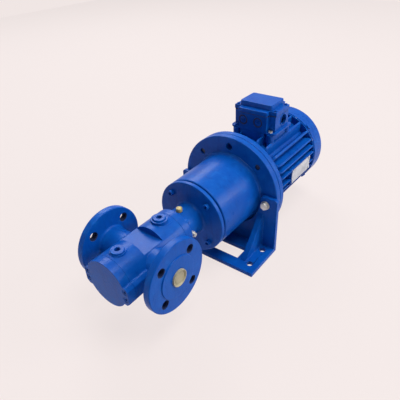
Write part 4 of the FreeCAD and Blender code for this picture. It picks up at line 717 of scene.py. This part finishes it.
def buildShieldRim():
    start = shieldRim["from"]
    finish = shieldRim["to"]
    nothingSelected()
    bpy.ops.mesh.primitive_cylinder_add(vertices=shieldRim["sides"], radius=shieldRim["outer"],
                                        depth=finish - start, end_fill_type="NOTHING",
                                        location=((start + finish) / 2, 0, axisHeight),
                                        rotation=(0, math.radians(90), 0))
    rim = bpy.context.object
    rim.name = "rear_shield_rim"
    bpy.ops.object.transform_apply(location=True, rotation=True, scale=True)
    applied(rim, "SOLIDIFY", thickness=shieldRim["outer"] - shieldRim["inner"], offset=-1)
    rounded(rim, shieldRim["round"])
    finished(rim, "rear_shield")


buildShieldRim()
print("stage: shield rim")


# lips and dimples of the two blanked cable entries on the box, and dark rings of painted shade sunk in their
# grooves

blank = {
    "boxFront": 0.1215,
    "places": ((0.02, 0.2062), (-0.0115, 0.2062)),
    "groove": 0.0081,
    "grooveWire": 0.0015,
    "sunk": 0.0007,
    "lip": 0.0101,
    "lipWire": 0.0007,
    "dimple": 0.0031,
    "sides": 56,
    "wireSides": 10,
    "smoothAngle": 180,
}


def turnedRing(radius, wire):
    nothingSelected()
    bpy.ops.mesh.primitive_torus_add(major_segments=blank["sides"], minor_segments=blank["wireSides"],
                                     major_radius=radius, minor_radius=wire,
                                     rotation=(0, math.radians(90), 0))
    ring = bpy.context.object
    ring.name = "ring"
    bpy.ops.object.transform_apply(location=True, rotation=True, scale=True)
    smooth(ring, blank["smoothAngle"])
    return ring


def buildBlankRings():
    front = [Vector((blank["boxFront"], y, z)) for y, z in blank["places"]]
    inside = [spot + Vector((blank["sunk"], 0, 0)) for spot in front]
    raised = [turnedRing(blank["lip"], blank["lipWire"]), turnedRing(blank["dimple"], blank["lipWire"])]
    finished(repeatedAs("blank_lips", raised, front), "terminal_box")
    # a dark navy ring sunk in each groove is painted shade
    grooves = repeatedAs("blank_groove_shade", [turnedRing(blank["groove"], blank["grooveWire"])], inside)
    finished(grooves, "terminal_box")
    grooves.data.materials[0] = finishes["paintedRecessShade"]


buildBlankRings()
print("stage: blanked entries")


# cast saddle under the terminal box

saddle = {
    "low": (0.1265, -0.0385, 0.166),
    "high": (0.1845, 0.0385, 0.1868),
    "flare": 1.06,
    "round": 0.0022,
    "roundSegments": 3,
}


def buildSaddle():
    low = Vector(saddle["low"])
    high = Vector(saddle["high"])
    nothingSelected()
    bpy.ops.mesh.primitive_cube_add(size=1, location=(low + high) / 2)
    block = bpy.context.object
    block.name = "box_saddle"
    block.scale = high - low
    bpy.ops.object.transform_apply(location=True, rotation=False, scale=True)
    pickFaces(block, lambda face: face.normal.z < -facing)
    bpy.ops.transform.resize(value=(saddle["flare"], saddle["flare"], 1))
    leaveEdit()
    rounded(block, saddle["round"], saddle["roundSegments"])
    finished(block, "motor_frame")


buildSaddle()
print("stage: box saddle")


# floor, world and lamps

stage = {
    "floorSize": 6.0,
    "paleFloor": fromHex("f0e6e4"),
    "glow": 0.9,  # how much of the floor shows as written, the rest takes shadow
    "backdrop": fromHex("f0e6e4"),
    "mirrored": 0.7,  # strength of the backdrop in reflections
    "world": 0.22,
    "worldColour": (0.9, 0.93, 1.0),
}
rays = {"camera": 0, "glossy": 3, "clear": 6}  # outputs of the Light Path node


def backgroundRays():
    # 1 for rays that see the background: straight, mirrored and through clear things
    camera, glossy, clear = (Wire.node("LightPath", out=out) for out in rays.values())
    return (camera + glossy + clear).clamp()


def paleSurface(name, colour):
    material = newMaterial(name)
    blend = Wire.node("MixShader", in0=backgroundRays() * stage["glow"],
                      in1=Wire.node("BsdfDiffuse", Color=colour), in2=Wire.node("Emission", Color=colour))
    Wire.node("OutputMaterial", in0=blend)
    return material


def buildFloor():
    nothingSelected()
    bpy.ops.mesh.primitive_plane_add(size=stage["floorSize"], location=(0, 0, 0))
    floor = bpy.context.object
    floor.name = "floor"
    floor.data.materials.append(paleSurface("paleFloor", stage["paleFloor"]))


def buildWorld():
    world = bpy.data.worlds.new("studio")
    bpy.context.scene.world = world
    world.use_nodes = True
    startTree(world.node_tree)
    glossy = Wire.node("LightPath", out=rays["glossy"])
    light = Wire.node("Background", Color=stage["worldColour"], Strength=stage["world"])
    shown = Wire.node("Background", Color=stage["backdrop"], Strength=1 - glossy * (1 - stage["mirrored"]))
    Wire.node("OutputWorld", in0=Wire.node("MixShader", in0=backgroundRays(), in1=light, in2=shown))


lamps = {
    "overhead": {"at": (0.4, -0.9, 3.2), "size": 1.5, "power": 92, "colour": (1.0, 0.99, 0.98)},
    "behind": {"at": (1.35, 1.75, 2.05), "size": 1.4, "power": 54, "colour": (0.97, 0.98, 1.0)},
    "left": {"at": (-3.0, 1.2, 2.0), "size": 2.2, "power": 8, "colour": (0.95, 0.97, 1.0)},
    "right": {"at": (1.9, -2.75, 1.5), "size": 1.3, "power": 68, "colour": (1.0, 0.98, 0.98)},
}
lampTarget = Vector((-0.03, 0, 0.1))


def buildLamps():
    for name, values in lamps.items():
        light = bpy.data.lights.new(name, "AREA")
        light.shape = "SQUARE"
        light.size = values["size"]
        light.energy = values["power"]
        light.color = values["colour"]
        item = bpy.data.objects.new(name, light)
        bpy.context.collection.objects.link(item)
        item.location = values["at"]
        item.rotation_euler = (lampTarget - Vector(values["at"])).to_track_quat("-Z", "Y").to_euler()


buildFloor()
buildWorld()
buildLamps()
print("stage: floor, world and lamps")


# camera at the photo's viewing angle

cameraFit = {
    "azimuth": -50.854,
    "elevation": 33.826,
    "roll": -3.145,
    "distance": 0.68527,
    "target": (-0.04448, 0.0, 0.124),
    "lens": 36.224,
    "sensor": 36,
    "clipStart": 0.01,
}


def buildCamera():
    azimuth, elevation, roll = (math.radians(cameraFit[key]) for key in ("azimuth", "elevation", "roll"))
    away = Vector((math.sin(azimuth) * math.cos(elevation), -math.cos(azimuth) * math.cos(elevation),
                   math.sin(elevation)))
    right = (-away).cross(Vector((0, 0, 1))).normalized()
    up = right.cross(-away)
    turnedRight = right * math.cos(roll) + up * math.sin(roll)
    turnedUp = up * math.cos(roll) - right * math.sin(roll)
    data = bpy.data.cameras.new("camera")
    data.lens = cameraFit["lens"]
    data.sensor_width = cameraFit["sensor"]
    data.clip_start = cameraFit["clipStart"]
    item = bpy.data.objects.new("camera", data)
    bpy.context.collection.objects.link(item)
    matrix = Matrix((turnedRight, turnedUp, away)).transposed().to_4x4()
    matrix.translation = Vector(cameraFit["target"]) + away * cameraFit["distance"]
    item.matrix_world = matrix
    bpy.context.scene.camera = item


buildCamera()
bpy.context.scene.view_settings.view_transform = "Standard"
print("stage: camera")
